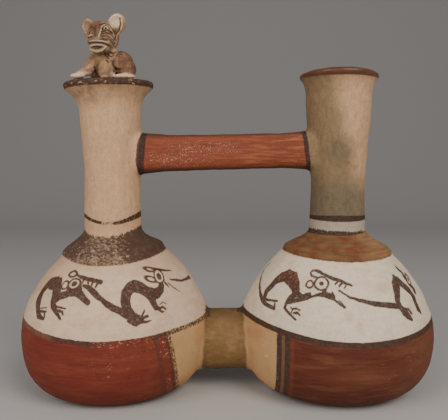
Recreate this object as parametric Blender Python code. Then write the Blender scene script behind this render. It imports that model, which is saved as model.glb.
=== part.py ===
"""A double-chambered whistling vessel of slip-painted earthenware, fired in one piece.

Two squat round chambers stand side by side, joined low down by a short tube. Each carries a collar and
a tall neck. One neck is open and flares to a rolled mouth. The other is closed by a lid on which a
big-eared animal crouches, with a small whistle hole in its back. A bar bridges the necks as the handle.

X runs along the vessel, from the whistle side to the open side. Y runs away from the painted front, and
Z is up. The origin lies under the middle of the vessel, on the plane that it stands on. Metres.
"""

import math

import bmesh
import bpy
from mathutils import Euler, Matrix, Vector

# Chambers
AXIS_SPACING = 0.1290
OPEN_CHAMBER_RADIUS = 0.0539
OPEN_BELLY_SHIFT = 0.0007
WHISTLE_CHAMBER_RADIUS = 0.0520
FOOT_RADIUS = 0.0270
EQUATOR_LEVEL = 0.0345
CHAMBER_HEIGHT = 0.0800
CHAMBER_WALL = 0.0050
FLOOR_THICKNESS = 0.0055

# Collars, the painted slopes between chamber and neck
OPEN_COLLAR_RADIUS = 0.0308
WHISTLE_COLLAR_RADIUS = 0.0292
COLLAR_STEP = 0.0005
COLLAR_RISE = 0.0140

# Necks
NECK_LENGTH = 0.0778
NECK_WALL = 0.0040
NECK_FOOT_FLARE = 0.0006
OPEN_NECK_RADIUS = 0.0153
OPEN_NECK_SWELL = 0.0033
WHISTLE_NECK_RADIUS = 0.0156
WHISTLE_NECK_SWELL = 0.0018
WHISTLE_NECK_LEAN = 0.0014

# Mouth of the open neck
MOUTH_RADIUS = 0.0224
MOUTH_FLARE_LENGTH = 0.0110
MOUTH_SAG = 0.0014
LIP_HEIGHT = 0.0040
LIP_OVERHANG = 0.0014
MOUTH_RISE = 0.0057

# Lid that closes the whistle neck, and the hole under it
LID_RADIUS = 0.0249
LID_FLARE_LENGTH = 0.0150
LID_EDGE = 0.0035
LID_DOME = 0.0012
LID_THICKNESS = 0.0060
WHISTLE_HOLE_RADIUS = 0.0032
WHISTLE_HOLE_DROP = 0.0130

# Tube between the chambers
TUBE_RADIUS = 0.0184
TUBE_LEVEL = 0.0280
TUBE_WALL = 0.0045
WHISTLE_FILLET = 0.0150
OPEN_FILLET = 0.0105
FILLET_REACH = 0.0070

# Bridge handle between the necks
BRIDGE_ABOVE_COLLAR = 0.0423
BRIDGE_CLIMB = 0.0020
BRIDGE_DEPTH = 0.0172
BRIDGE_HEIGHT = 0.0197
BRIDGE_TAPER = 0.0020
BRIDGE_END_FLARE = 0.0015

# Animal on the lid
FIGURE_HEIGHT = 0.0375
FIGURE_SINK = 0.0010

# Slopes of the hand-built shape, as rise for each unit of X towards the open side
WHISTLE_COLLAR_TILT = 0.078
WHISTLE_BAND_TILT = 0.030
WHISTLE_LID_TILT = 0.025
OPEN_COLLAR_TILT = -0.028
OPEN_BAND_TILT = -0.045
BAND_ABOVE_EQUATOR = 0.0120
BAND_SPREAD = 0.0220

# Curves of the walls, as powers: a higher one bends later and more sharply
BELLY_DROP_CURVE = 0.75
BELLY_SWELL_CURVE = 2.7
BELLY_FOOT_CURVE = 2.1
SHOULDER_CURVE = 2.1
COLLAR_CURVE = 1.5
MOUTH_CURVE = 2.4
MOUTH_HOLLOW_CURVE = 2.0
LID_CURVE = 2.7
FILLET_CURVE = 2.2
BRIDGE_SECTION_CURVE = 0.78

# Fineness of the solids
ROUND_SIDES = 32
HOLLOW_SIDES = 20
TUBE_SIDES = 24
BRIDGE_SIDES = 16
HOLE_SIDES = 12

COLLAR_TOP = CHAMBER_HEIGHT + COLLAR_RISE
NECK_TOP = COLLAR_TOP + NECK_LENGTH
MOUTH_TOP = NECK_TOP + LIP_HEIGHT + MOUTH_RISE
LID_TOP = NECK_TOP + LID_EDGE + LID_DOME
LENGTH = AXIS_SPACING + OPEN_CHAMBER_RADIUS + OPEN_BELLY_SHIFT + WHISTLE_CHAMBER_RADIUS
OPEN_AXIS = LENGTH / 2 - OPEN_CHAMBER_RADIUS - OPEN_BELLY_SHIFT
WHISTLE_AXIS = WHISTLE_CHAMBER_RADIUS - LENGTH / 2


def clear_scene():
    for thing in list(bpy.data.objects):
        bpy.data.objects.remove(thing, do_unlink=True)


def clay(name, colour, roughness):
    """A Principled material in one plain colour."""
    material = bpy.data.materials.new(name)
    material.use_nodes = True
    shader = material.node_tree.nodes["Principled BSDF"]
    shader.inputs["Base Color"].default_value = (*colour, 1)
    shader.inputs["Roughness"].default_value = roughness
    shader.inputs["Metallic"].default_value = 0
    return material


def object_from(bm, name, helper=False):
    """A named object that takes over the mesh. A helper only cuts or adds to another object."""
    mesh = bpy.data.meshes.new(name)
    bm.normal_update()
    bm.to_mesh(mesh)
    bm.free()
    thing = bpy.data.objects.new(name, mesh)
    bpy.context.scene.collection.objects.link(thing)
    if helper:
        thing.hide_render = True
        thing.display_type = "WIRE"
    return thing


def boolean(thing, other, operation):
    change = thing.modifiers.new(f"{operation.lower()} {other.name}", "BOOLEAN")
    change.operation = operation
    change.object = other
    change.solver = "EXACT"


def voxel_remesh(thing, voxel):
    fuse = thing.modifiers.new("fuse", "REMESH")
    fuse.mode = "VOXEL"
    fuse.voxel_size = voxel


def spread(first, last, count):
    """count values from first to last, both included."""
    return [first + (last - first) * k / (count - 1) for k in range(count)]


def smooth(share):
    """0 to 1 with level ends."""
    share = min(max(share, 0), 1)
    return share * share * (3 - 2 * share)


def bell(distance, width):
    return math.exp(-((distance / width) ** 2))


# Outlines of the turned walls, as (radius, height) pairs from the foot up


def chamber_outline(radius, collar):
    """From the foot's edge, round the equator, to where the collar sits."""
    lower = []
    for turn in spread(0, math.pi / 2, 8):
        drop = math.cos(turn) ** BELLY_DROP_CURVE
        swell = (1 - drop**BELLY_SWELL_CURVE) ** (1 / BELLY_FOOT_CURVE)
        lower.append((FOOT_RADIUS + (radius - FOOT_RADIUS) * swell, EQUATOR_LEVEL * (1 - drop)))
    upper = []
    for rise in spread(0, 1, 7)[1:]:
        height = EQUATOR_LEVEL + rise * (CHAMBER_HEIGHT - EQUATOR_LEVEL)
        upper.append((radius - (radius - collar) * rise**SHOULDER_CURVE, height))
    return lower + upper


def collar_outline(collar, neck):
    """An S curve from just above the chamber's top, up into the neck."""
    outline = []
    bottom = CHAMBER_HEIGHT + COLLAR_STEP
    foot = neck + NECK_FOOT_FLARE
    for rise in spread(0, 1, 6):
        swing = (0.5 + math.cos(math.pi * rise) / 2) ** COLLAR_CURVE
        outline.append((foot + (collar - foot) * swing, bottom + rise * (COLLAR_TOP - bottom)))
    return outline


def neck_radius(height, neck, swell):
    """A slight flare above the collar, and a swell towards the top."""
    rise = (height - COLLAR_TOP) / NECK_LENGTH
    return neck + NECK_FOOT_FLARE * (1 - smooth(rise / 0.25)) + swell * smooth((rise - 0.28) / 0.72)


def neck_outline(neck, swell, top):
    return [(neck_radius(z, neck, swell), z) for z in spread(COLLAR_TOP, top, 6)[1:]]


def flare_outline(start, end, bottom, top, power):
    return [
        (start + (end - start) * rise**power, bottom + rise * (top - bottom))
        for rise in spread(0, 1, 5)[1:]
    ]


def lip_outline():
    """The rolled lip, from its underside round to the flat of the mouth."""
    roll = LIP_HEIGHT / 2
    return [
        (MOUTH_RADIUS - roll + math.cos(turn) * roll, MOUTH_TOP - roll + math.sin(turn) * roll)
        for turn in spread(-math.pi / 3, math.pi / 2, 6)
    ]


def lower_open_outline():
    """The open side from its foot to the end of its neck, where the mouth begins to flare."""
    flare_start = MOUTH_TOP - LIP_HEIGHT - MOUTH_FLARE_LENGTH
    return (
        chamber_outline(OPEN_CHAMBER_RADIUS, OPEN_COLLAR_RADIUS - COLLAR_STEP)
        + collar_outline(OPEN_COLLAR_RADIUS, OPEN_NECK_RADIUS)
        + neck_outline(OPEN_NECK_RADIUS, OPEN_NECK_SWELL, flare_start)
    )


def open_outline():
    lower = lower_open_outline()
    start, flare_start = lower[-1]
    end = MOUTH_RADIUS - LIP_OVERHANG
    flare = flare_outline(start, end, flare_start, MOUTH_TOP - LIP_HEIGHT, MOUTH_CURVE)
    return lower + flare + lip_outline()


def lower_whistle_outline(top):
    return (
        chamber_outline(WHISTLE_CHAMBER_RADIUS, WHISTLE_COLLAR_RADIUS - COLLAR_STEP)
        + collar_outline(WHISTLE_COLLAR_RADIUS, WHISTLE_NECK_RADIUS)
        + neck_outline(WHISTLE_NECK_RADIUS, WHISTLE_NECK_SWELL, top)
    )


def whistle_outline():
    lower = lower_whistle_outline(NECK_TOP - LID_FLARE_LENGTH)
    start, flare_start = lower[-1]
    bulge = LID_EDGE / 8
    lid = [
        (LID_RADIUS + bulge, NECK_TOP + LID_EDGE / 2),
        (LID_RADIUS - bulge, NECK_TOP + LID_EDGE),
        (LID_RADIUS * 0.60, LID_TOP - LID_DOME * 0.25),
        (LID_RADIUS * 0.25, LID_TOP),
    ]
    return lower + flare_outline(start, LID_RADIUS, flare_start, NECK_TOP, LID_CURVE) + lid


def inside(outline):
    """The outline one wall further in, measured square to it, from the floor up."""
    points = []
    for before, here, after in zip(outline, outline[1:], outline[2:]):
        along = Vector(after) - Vector(before)
        inward = Vector((-along.y, along.x)).normalized()
        up_collar = smooth((here[1] - CHAMBER_HEIGHT) / COLLAR_RISE)
        wall = CHAMBER_WALL + (NECK_WALL - CHAMBER_WALL) * up_collar
        points.append(Vector(here) + inward * wall)
    below = [point for point in points if point.y <= FLOOR_THICKNESS]
    above = [point for point in points if point.y > FLOOR_THICKNESS]
    if below:
        share = (FLOOR_THICKNESS - below[-1].y) / (above[0].y - below[-1].y)
        first = below[-1].lerp(above[0], share)
    else:
        first = Vector((FOOT_RADIUS - CHAMBER_WALL, FLOOR_THICKNESS))
    return [tuple(point) for point in [first, *above]]


def open_hollow_outline():
    """The inside of the open side, carried past the mouth so that it cuts right out."""
    inner = inside(lower_open_outline())
    start, flare_start = inner[-1]
    mouth = MOUTH_RADIUS - LIP_HEIGHT
    beyond = MOUTH_TOP + LIP_HEIGHT
    flare = flare_outline(start, mouth, flare_start, MOUTH_TOP, MOUTH_HOLLOW_CURVE)
    return inner + flare + [(mouth, beyond)]


def whistle_hollow_outline():
    """The inside of the closed side, up to the underside of the lid."""
    ceiling = LID_TOP - LID_DOME - LID_THICKNESS
    inner = inside(lower_whistle_outline(ceiling))
    return inner + [(inner[-1][0], ceiling)]


# Turned and swept shapes


def turned(outline, sides):
    """A closed mesh turned about Z from the outline, with flat ends."""
    bm = bmesh.new()
    turns = [2 * math.pi * k / sides for k in range(sides)]
    rings = [
        [bm.verts.new((radius * math.sin(turn), -radius * math.cos(turn), height)) for turn in turns]
        for radius, height in outline
    ]
    for lower, upper in zip(rings, rings[1:]):
        for k in range(sides):
            after = (k + 1) % sides
            bm.faces.new((lower[k], lower[after], upper[after], upper[k]))
    bm.faces.new(rings[0][::-1])
    bm.faces.new(rings[-1])
    return bm


def neck_lean(height):
    """How far the whistle neck has bent outward at this height."""
    rise = max(height - COLLAR_TOP, 0) / NECK_LENGTH
    return WHISTLE_NECK_LEAN * rise**3


def tilt_rise(vert, band_tilt, collar_tilt):
    """How far the belly and the collar are lifted on one side. The foot stays flat."""
    height = vert.co.z
    off_foot = smooth(height / EQUATOR_LEVEL)
    at_band = bell(height - EQUATOR_LEVEL - BAND_ABOVE_EQUATOR, BAND_SPREAD)
    over_tip = height - CHAMBER_HEIGHT
    at_collar = bell(over_tip, COLLAR_RISE * 0.5 if over_tip > 0 else COLLAR_RISE * 1.5)
    return vert.co.x * off_foot * (band_tilt * at_band + collar_tilt * at_collar)


def open_side(outline, sides):
    """Turned about the open axis, with its tilts, and a mouth that sags at both sides."""
    bm = turned(outline, sides)
    for vert in bm.verts:
        height = vert.co.z
        at_mouth = smooth((height - MOUTH_TOP) / MOUTH_FLARE_LENGTH + 1)
        sag = MOUTH_SAG * (vert.co.x / MOUTH_RADIUS) ** 2 * at_mouth
        vert.co.z += tilt_rise(vert, OPEN_BAND_TILT, OPEN_COLLAR_TILT) - sag
        at_belly = smooth(height / EQUATOR_LEVEL) * bell(height - EQUATOR_LEVEL, EQUATOR_LEVEL)
        vert.co.x += OPEN_AXIS + OPEN_BELLY_SHIFT * at_belly
    return bm


def whistle_side(outline, sides):
    """Turned about the whistle axis, with its tilts, its lean and a lid that lies a little askew."""
    bm = turned(outline, sides)
    for vert in bm.verts:
        height = vert.co.z
        at_lid = smooth((height - NECK_TOP) / LID_FLARE_LENGTH + 1)
        askew = WHISTLE_LID_TILT * vert.co.x * at_lid
        vert.co.z += tilt_rise(vert, WHISTLE_BAND_TILT, WHISTLE_COLLAR_TILT) + askew
        vert.co.x += WHISTLE_AXIS - neck_lean(height)
    return bm


def swept(stations, section, sides):
    """A closed mesh along X, its section a function of the station and the turn."""
    bm = bmesh.new()
    turns = [2 * math.pi * k / sides for k in range(sides)]
    rings = [[bm.verts.new((x, *section(x, turn))) for turn in turns] for x in stations]
    for left, right in zip(rings, rings[1:]):
        for k in range(sides):
            after = (k + 1) % sides
            bm.faces.new((left[k], left[after], right[after], right[k]))
    bm.faces.new(rings[0][::-1])
    bm.faces.new(rings[-1])
    return bm


TUBE_START = WHISTLE_AXIS + WHISTLE_CHAMBER_RADIUS
TUBE_END = OPEN_AXIS + OPEN_BELLY_SHIFT - OPEN_CHAMBER_RADIUS


def fillet(x):
    """How much the tube has grown on top, into the soft fillet that meets each chamber."""
    growth = 0
    for size, gap in ((WHISTLE_FILLET, x - TUBE_START), (OPEN_FILLET, TUBE_END - x)):
        share = max(1 - gap / FILLET_REACH, 0)
        growth += size * (1 - math.exp(-((share / 1.3) ** FILLET_CURVE)))
    return growth


def tube_section(x, turn):
    """Round, with a fillet that is deepest on top and slight at the front and back."""
    across, up = math.cos(turn), math.sin(turn)
    part = (up**2 if up > 0 else up**2 / 2) + across**2 / 7
    radius = TUBE_RADIUS + fillet(x) * part
    return radius * across, TUBE_LEVEL + radius * up


def tube():
    into_chamber = FILLET_REACH * 1.9
    stations = spread(TUBE_START - into_chamber, TUBE_END + into_chamber, 13)
    return swept(stations, tube_section, TUBE_SIDES)


def tube_hollow():
    bore = TUBE_RADIUS - TUBE_WALL

    def section(x, turn):
        return bore * math.cos(turn), TUBE_LEVEL + bore * math.sin(turn)

    into_hollow = CHAMBER_WALL + bore
    return swept([TUBE_START - into_hollow, TUBE_END + into_hollow], section, HOLLOW_SIDES)


BRIDGE_LEVEL = COLLAR_TOP + BRIDGE_ABOVE_COLLAR
BRIDGE_START = WHISTLE_AXIS - neck_lean(BRIDGE_LEVEL)
BRIDGE_END = OPEN_AXIS


def bridge_section(x, turn):
    """A rounded oblong, taller at the whistle end, that grows a little at both necks."""
    along = (x - BRIDGE_START) / (BRIDGE_END - BRIDGE_START)
    to_end = abs(2 * along - 1)
    flare = BRIDGE_END_FLARE * smooth((to_end - 0.45) / 0.35)
    half_height = (BRIDGE_HEIGHT + BRIDGE_TAPER * (0.5 - along)) / 2 + flare
    half_depth = BRIDGE_DEPTH / 2 + flare
    level = BRIDGE_LEVEL + BRIDGE_CLIMB * (smooth(along) - 0.5)
    across, up = math.cos(turn), math.sin(turn)
    y = math.copysign(abs(across) ** BRIDGE_SECTION_CURVE, across) * half_depth
    z = math.copysign(abs(up) ** BRIDGE_SECTION_CURVE, up) * half_height
    return y, level + z


def bridge():
    return swept(spread(BRIDGE_START, BRIDGE_END, 13), bridge_section, BRIDGE_SIDES)


def whistle_hole():
    """A round cutter from the neck's hollow out through its back."""
    bm = bmesh.new()
    level = NECK_TOP - WHISTLE_HOLE_DROP
    depth = LID_RADIUS
    radius = WHISTLE_HOLE_RADIUS
    bmesh.ops.create_cone(
        bm, cap_ends=True, segments=HOLE_SIDES, radius1=radius, radius2=radius, depth=depth
    )
    bm.transform(Matrix.Rotation(math.pi / 2, 4, "X"))
    bm.transform(Matrix.Translation((WHISTLE_AXIS - neck_lean(level), depth / 2, level)))
    return bm


# The animal. Its places and sizes are shares of its height, measured from the middle of the lid.

HEAD = Vector((-0.012, -0.33, 0.595))
HEAD_TURN = -10
FIGURE_GRAIN = 0.0125
FIGURE_KEEP = 0.0325


def ball(bm, centre, radii, turn=(0, 0, 0)):
    """An ellipsoid, turned by degrees about X, Y and Z."""
    spin = Euler([math.radians(a) for a in turn]).to_matrix().to_4x4()
    matrix = Matrix.Translation(centre) @ spin @ Matrix.Diagonal((*radii, 1))
    bmesh.ops.create_uvsphere(bm, u_segments=20, v_segments=12, radius=1, matrix=matrix)


def limb(bm, start, end, thick, thin):
    """A tapering limb of overlapping balls."""
    for share in spread(0, 1, 8):
        radius = thick + (thin - thick) * share
        ball(bm, Vector(start).lerp(Vector(end), share), (radius, radius, radius))


def clay_ring(bm, centre, half_width, half_height, thick):
    """A roll of clay pressed on as a ring, facing forward."""
    for turn in spread(0, 2 * math.pi, 25)[1:]:
        offset = Vector((half_width * math.cos(turn), 0, half_height * math.sin(turn)))
        ball(bm, Vector(centre) + offset, (thick, thick, thick))


def ears(bm, shift, shrink):
    """Both ears. The one nearer the viewer is the larger."""
    for side, size in ((-1, 0.97), (1, 1.08)):
        centre = Vector((side * 0.225 - 0.030, 0.08 + shift, 0.170 + 0.30 * (size - 0.97)))
        radii = (size * (0.126 - shrink), 0.066, size * (0.180 - shrink))
        ball(bm, centre, radii, (0, side * 24, side * 10))


def head_masses():
    """The head before its turn: skull, brows, muzzle, lips, eyes and ears."""
    bm = bmesh.new()
    ball(bm, (0, 0.06, 0.03), (0.235, 0.24, 0.215))
    ball(bm, (0, -0.04, 0.140), (0.215, 0.17, 0.085))
    ball(bm, (0, -0.10, -0.11), (0.180, 0.17, 0.115))
    ball(bm, (0.01, -0.15, -0.16), (0.180, 0.11, 0.080))
    ball(bm, (-0.02, -0.16, 0.00), (0.070, 0.10, 0.150))
    for side in (-1, 1):
        clay_ring(bm, (side * 0.138 - 0.015, -0.165, 0.110), 0.060, 0.062, 0.021)
        ball(bm, (side * 0.138 - 0.015, -0.170, 0.110), (0.027, 0.032, 0.027))
    clay_ring(bm, (0.01, -0.245, -0.175), 0.105, 0.042, 0.024)
    ears(bm, 0, 0)
    return bm


def head_hollows():
    """What is pressed into the head: ear cups, open mouth and nostrils."""
    bm = bmesh.new()
    ears(bm, -0.060, 0.038)
    ball(bm, (0.01, -0.275, -0.175), (0.086, 0.060, 0.022))
    for side in (-1, 1):
        ball(bm, (side * 0.048 - 0.02, -0.250, -0.075), (0.022, 0.030, 0.012))
    return bm


def body_masses():
    """Chest, shoulders, back, haunches, legs, paws and tail."""
    bm = bmesh.new()
    ball(bm, (0.055, -0.36, 0.17), (0.155, 0.17, 0.190))
    ball(bm, (0.00, -0.22, 0.34), (0.190, 0.20, 0.190))
    ball(bm, (0.15, -0.34, 0.40), (0.095, 0.10, 0.120))
    ball(bm, (0.03, 0.00, 0.28), (0.240, 0.32, 0.240))
    ball(bm, (0.05, 0.24, 0.19), (0.280, 0.30, 0.220))
    ball(bm, (-0.10, -0.16, 0.16), (0.210, 0.20, 0.170))
    ball(bm, (0.21, -0.18, 0.24), (0.185, 0.22, 0.180))
    ball(bm, (0.31, -0.20, 0.15), (0.145, 0.21, 0.165))
    ball(bm, (0.31, -0.42, 0.045), (0.185, 0.11, 0.055))
    limb(bm, (-0.14, -0.26, 0.30), (-0.28, -0.43, 0.09), 0.125, 0.098)
    ball(bm, (-0.31, -0.48, 0.045), (0.130, 0.13, 0.058))
    ball(bm, (-0.01, -0.53, 0.040), (0.095, 0.09, 0.055))
    for turn in spread(math.radians(-25), math.radians(165), 18):
        ball(bm, (0.05 + 0.33 * math.cos(turn), 0.30 + 0.25 * math.sin(turn), 0.05), (0.06, 0.06, 0.06))
    return bm


def body_hollows():
    """Grooves pressed between the toes of three paws."""
    bm = bmesh.new()
    for x, y, apart in ((-0.33, -0.60, 0.065), (-0.01, -0.61, 0.050), (0.31, -0.52, 0.085)):
        for k in (-1, 0, 1):
            ball(bm, (x + k * apart, y, 0.06), (0.012, 0.065, 0.070))
    return bm


def on_lid(body, head):
    """Turns the head, sets it on the body, and puts both on the lid."""
    head.transform(Matrix.Translation(HEAD) @ Matrix.Rotation(math.radians(HEAD_TURN), 4, "Z"))
    spare = bpy.data.meshes.new("spare")
    head.to_mesh(spare)
    head.free()
    body.from_mesh(spare)
    bpy.data.meshes.remove(spare)
    middle = WHISTLE_AXIS - neck_lean(LID_TOP)
    body.transform(Matrix.Scale(FIGURE_HEIGHT, 4))
    body.transform(Matrix.Translation((middle, 0, LID_TOP - FIGURE_SINK)))
    return body


def animal():
    """The figure as one fused body, with its hollows pressed in, thinned to few triangles."""
    voxel = FIGURE_HEIGHT * FIGURE_GRAIN
    pressed = object_from(on_lid(body_hollows(), head_hollows()), "pressed_hollows", helper=True)
    voxel_remesh(pressed, voxel)
    figure = object_from(on_lid(body_masses(), head_masses()), "figure", helper=True)
    voxel_remesh(figure, voxel)
    soften = figure.modifiers.new("soften", "SMOOTH")
    soften.iterations = 3
    boolean(figure, pressed, "DIFFERENCE")
    voxel_remesh(figure, voxel)
    thin = figure.modifiers.new("thin", "DECIMATE")
    thin.ratio = FIGURE_KEEP
    return figure


def vessel():
    """The whole vessel: the outer masses made one, then the hollows cut out."""
    body = object_from(open_side(open_outline(), ROUND_SIDES), "vessel")
    body.data.materials.append(clay("slip_painted_clay", (0.62, 0.45, 0.32), 0.8))
    masses = {
        "whistle_side": whistle_side(whistle_outline(), ROUND_SIDES),
        "tube": tube(),
        "bridge": bridge(),
    }
    for name, bm in masses.items():
        boolean(body, object_from(bm, name, helper=True), "UNION")
    boolean(body, animal(), "UNION")
    hollows = {
        "open_hollow": open_side(open_hollow_outline(), HOLLOW_SIDES),
        "whistle_hollow": whistle_side(whistle_hollow_outline(), HOLLOW_SIDES),
        "tube_hollow": tube_hollow(),
        "whistle_hole": whistle_hole(),
    }
    for name, bm in hollows.items():
        boolean(body, object_from(bm, name, helper=True), "DIFFERENCE")
    body.data.shade_smooth()
    return body


clear_scene()
vessel()
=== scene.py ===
"""The looks of a double-chambered whistling vessel of slip-painted earthenware.

Two squat chambers stand side by side, joined low down by a short tube. Each carries a painted collar and
a tall neck. One neck opens in a rolled mouth, the other ends in a lid on which a big-eared animal
crouches, and a bar handle bridges the two. The whole is one fired body: here its wall is one piece and
the animal on the lid another.

X runs from the whistle side to the open side, Y away from the painted front, Z up. Metres, and
millimetres inside the paints.
"""

import math

import bpy
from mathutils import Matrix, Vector


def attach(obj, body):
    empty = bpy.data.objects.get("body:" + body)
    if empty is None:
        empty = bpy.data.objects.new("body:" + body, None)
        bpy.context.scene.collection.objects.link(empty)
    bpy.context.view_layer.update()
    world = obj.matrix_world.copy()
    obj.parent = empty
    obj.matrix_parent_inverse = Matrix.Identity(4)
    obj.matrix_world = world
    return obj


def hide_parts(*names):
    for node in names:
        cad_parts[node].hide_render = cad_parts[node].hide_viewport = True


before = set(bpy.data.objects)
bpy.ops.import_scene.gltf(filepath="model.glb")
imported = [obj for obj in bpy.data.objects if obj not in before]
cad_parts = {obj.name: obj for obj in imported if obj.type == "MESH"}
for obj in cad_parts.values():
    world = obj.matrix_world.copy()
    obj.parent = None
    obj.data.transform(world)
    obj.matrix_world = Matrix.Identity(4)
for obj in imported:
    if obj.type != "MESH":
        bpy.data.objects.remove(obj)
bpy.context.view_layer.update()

bl_info = {
    "name": "Whistling vessel",
    "version": (1, 0, 0),
    "blender": (4, 5, 0),
    "location": "View3D > Sidebar > Vessel",
    "description": "Models and paints a double-chambered whistling vessel of slip-painted earthenware",
    "category": "Add Mesh",
}

MM = 0.001

# Fixed proportions of the wall, in metres
OPEN_BELLY_SHIFT = 0.0007
COLLAR_STEP = 0.0005
CHAMBER_WALL = 0.0050
NECK_WALL = 0.0040
FLOOR_THICKNESS = 0.0055
NECK_FOOT_FLARE = 0.0006
OPEN_NECK_SWELL = 0.0033
WHISTLE_NECK_SWELL = 0.0018
WHISTLE_NECK_LEAN = 0.0014
MOUTH_FLARE_LENGTH = 0.0110
MOUTH_SAG = 0.0014
LIP_HEIGHT = 0.0040
LIP_OVERHANG = 0.0014
MOUTH_RISE = 0.0057
LID_FLARE_LENGTH = 0.0150
LID_EDGE = 0.0035
LID_DOME = 0.0012
LID_THICKNESS = 0.0060
WHISTLE_HOLE_RADIUS = 0.0032
WHISTLE_HOLE_DROP = 0.0130
TUBE_LEVEL = 0.0280
TUBE_WALL = 0.0045
TUBE_FLATNESS = 0.97
TUBE_FLARE = 0.06
TUBE_BURIED = 0.0090
REACH_LEVEL = 0.0360
WHISTLE_REACH = 0.0034
OPEN_REACH = 0.0026
HANDLE_ABOVE_COLLAR = 0.0423
HANDLE_CLIMB = 0.0020
HANDLE_TAPER = 0.0020
HANDLE_END_FLARE = 0.0015
HANDLE_CORNER = 0.0070

# Slopes of the hand-built shape, as rise for each unit of X
WHISTLE_COLLAR_TILT = 0.078
WHISTLE_BAND_TILT = 0.030
WHISTLE_LID_TILT = 0.025
OPEN_COLLAR_TILT = -0.028
OPEN_BAND_TILT = -0.045
BAND_ABOVE_EQUATOR = 0.0120
BAND_SPREAD = 0.0220

# How finely the meshes are made
WALL_SIDES = 112
HOLLOW_SIDES = 64
# Edge of the voxels that make each piece one skin, and the share of the wall's faces that is kept
WALL_GRAIN = 0.00105
WALL_KEEP = 0.62
FIGURE_GRAIN = 0.00032
# Corners nearer each other than this are one corner
SLIVER = 0.000005
# How many balls of clay are rolled at a time
HANDFUL = 24
# Unevenness of the clay: the size of its swells, and their height
WALL_SWELLS = (0.022, 0.0011)
WALL_BUMPS = (0.0045, 0.00022)
FIGURE_BUMPS = (0.0035, 0.00035)
# How far the face's dark lines are pressed in, and its pale ridges raised
CREASE_RELIEF = -0.0006
RIDGE_RELIEF = 0.0005

# Where one paint of the wall gives way to the next, in metres: between the sides, at the handle's ends, at
# the top of the bellies and of the picture bands, and inside the mouth, the tube and the necks
HALFWAY = -0.002
HANDLE_ZONE = 0.0145
HANDLE_FROM_WHISTLE = 0.0105
HANDLE_FROM_OPEN = 0.0135
BELLY_TOP = 0.0436
BELLY_BOW = 0.0052
PICTURE_TOP = 0.083
MOUTH_DISH = 0.016
BORE_REACH = 0.014
BORE_TOP = 0.05
NECK_INSIDE = 0.0145

# How much every paint shines, the grey that settles in pale slip, and how bright the open neck's wiped clay
# is before its colours, with their painted light and shade, take its place
CLAY_SHEEN = 0.35
DUST = (0.42, 0.42, 0.37)
NECK_TONE = 0.345

# The stage. A light is its name, power, size and place.
SWEEP_SIZE = 4.0
SWEEP_BACK = 0.9
SWEEP_BEND = 0.8
FLOOR_GREY = (0.50, 0.49, 0.48, 1)
STUDIO_GREY = (0.84, 0.84, 0.85, 1)
STUDIO_STRENGTH = 0.24
LIGHT_TONE = (1.0, 0.94, 0.87)
LIGHT_AIM = (0, 0, 0.09)
LIGHTS = (("key", 8.5, 0.7, (0.50, -0.80, 0.70)), ("fill", 6.5, 0.8, (-0.62, -0.78, 0.55)))
CAMERA_PLACE = (-0.0019, -0.365, 0.130)
CAMERA_DROP = math.radians(4.23)
CAMERA_LENS = 51.1


# Small sums


def spread(first, last, count):
    """count values from first to last, both included."""
    return [first + (last - first) * k / (count - 1) for k in range(count)]


def smooth(share):
    """0 to 1 with level ends."""
    share = min(max(share, 0), 1)
    return share * share * (3 - 2 * share)


def bell(distance, width):
    return math.exp(-((distance / width) ** 2))


def linear(red, green, blue):
    """A colour given as 0 to 255 in the usual screen scale, as the shader's linear values."""
    return tuple(
        c / 255 / 12.92 if c <= 10 else ((c / 255 + 0.055) / 1.055) ** 2.4 for c in (red, green, blue)
    )


# What a user would change


def length(name, description, default):
    return bpy.props.FloatProperty(
        name=name, description=description, default=default, min=0.001, unit="LENGTH", precision=4
    )


def colour(name, description, red, green, blue):
    return bpy.props.FloatVectorProperty(
        name=name,
        description=description,
        default=linear(red, green, blue),
        size=3,
        min=0,
        max=1,
        subtype="COLOR",
    )


class VesselSizes(bpy.types.PropertyGroup):
    """The vessel's main lengths."""

    axis_spacing: length("Axis spacing", "Between the axes of the two chambers", 0.1290)
    open_chamber_radius: length("Open chamber", "Radius of the chamber under the open neck", 0.0539)
    whistle_chamber_radius: length("Whistle chamber", "Radius of the chamber under the lid", 0.0520)
    foot_radius: length("Foot", "Radius of the flat that each chamber stands on", 0.0270)
    equator_level: length("Equator", "Height of the widest part of the chambers", 0.0345)
    chamber_height: length("Chamber height", "Height where the collars begin", 0.0800)
    collar_rise: length("Collar rise", "Height of the collars", 0.0140)
    open_collar_radius: length("Open collar", "Radius of the open side's collar at its foot", 0.0308)
    whistle_collar_radius: length("Whistle collar", "Radius of the whistle side's collar", 0.0292)
    neck_length: length("Neck length", "From the collar to the lid's underside", 0.0778)
    open_neck_radius: length("Open neck", "Radius of the open neck above its collar", 0.0153)
    whistle_neck_radius: length("Whistle neck", "Radius of the closed neck above its collar", 0.0156)
    mouth_radius: length("Mouth", "Outer radius of the rolled mouth", 0.0224)
    lid_radius: length("Lid", "Radius of the lid", 0.0249)
    tube_radius: length("Tube", "Outer radius of the tube between the chambers", 0.0184)
    handle_depth: length("Handle depth", "Thickness of the handle from front to back", 0.0172)
    handle_height: length("Handle height", "Thickness of the handle from top to bottom", 0.0197)
    figure_height: length("Animal height", "Height of the animal on the lid", 0.0375)


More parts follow.
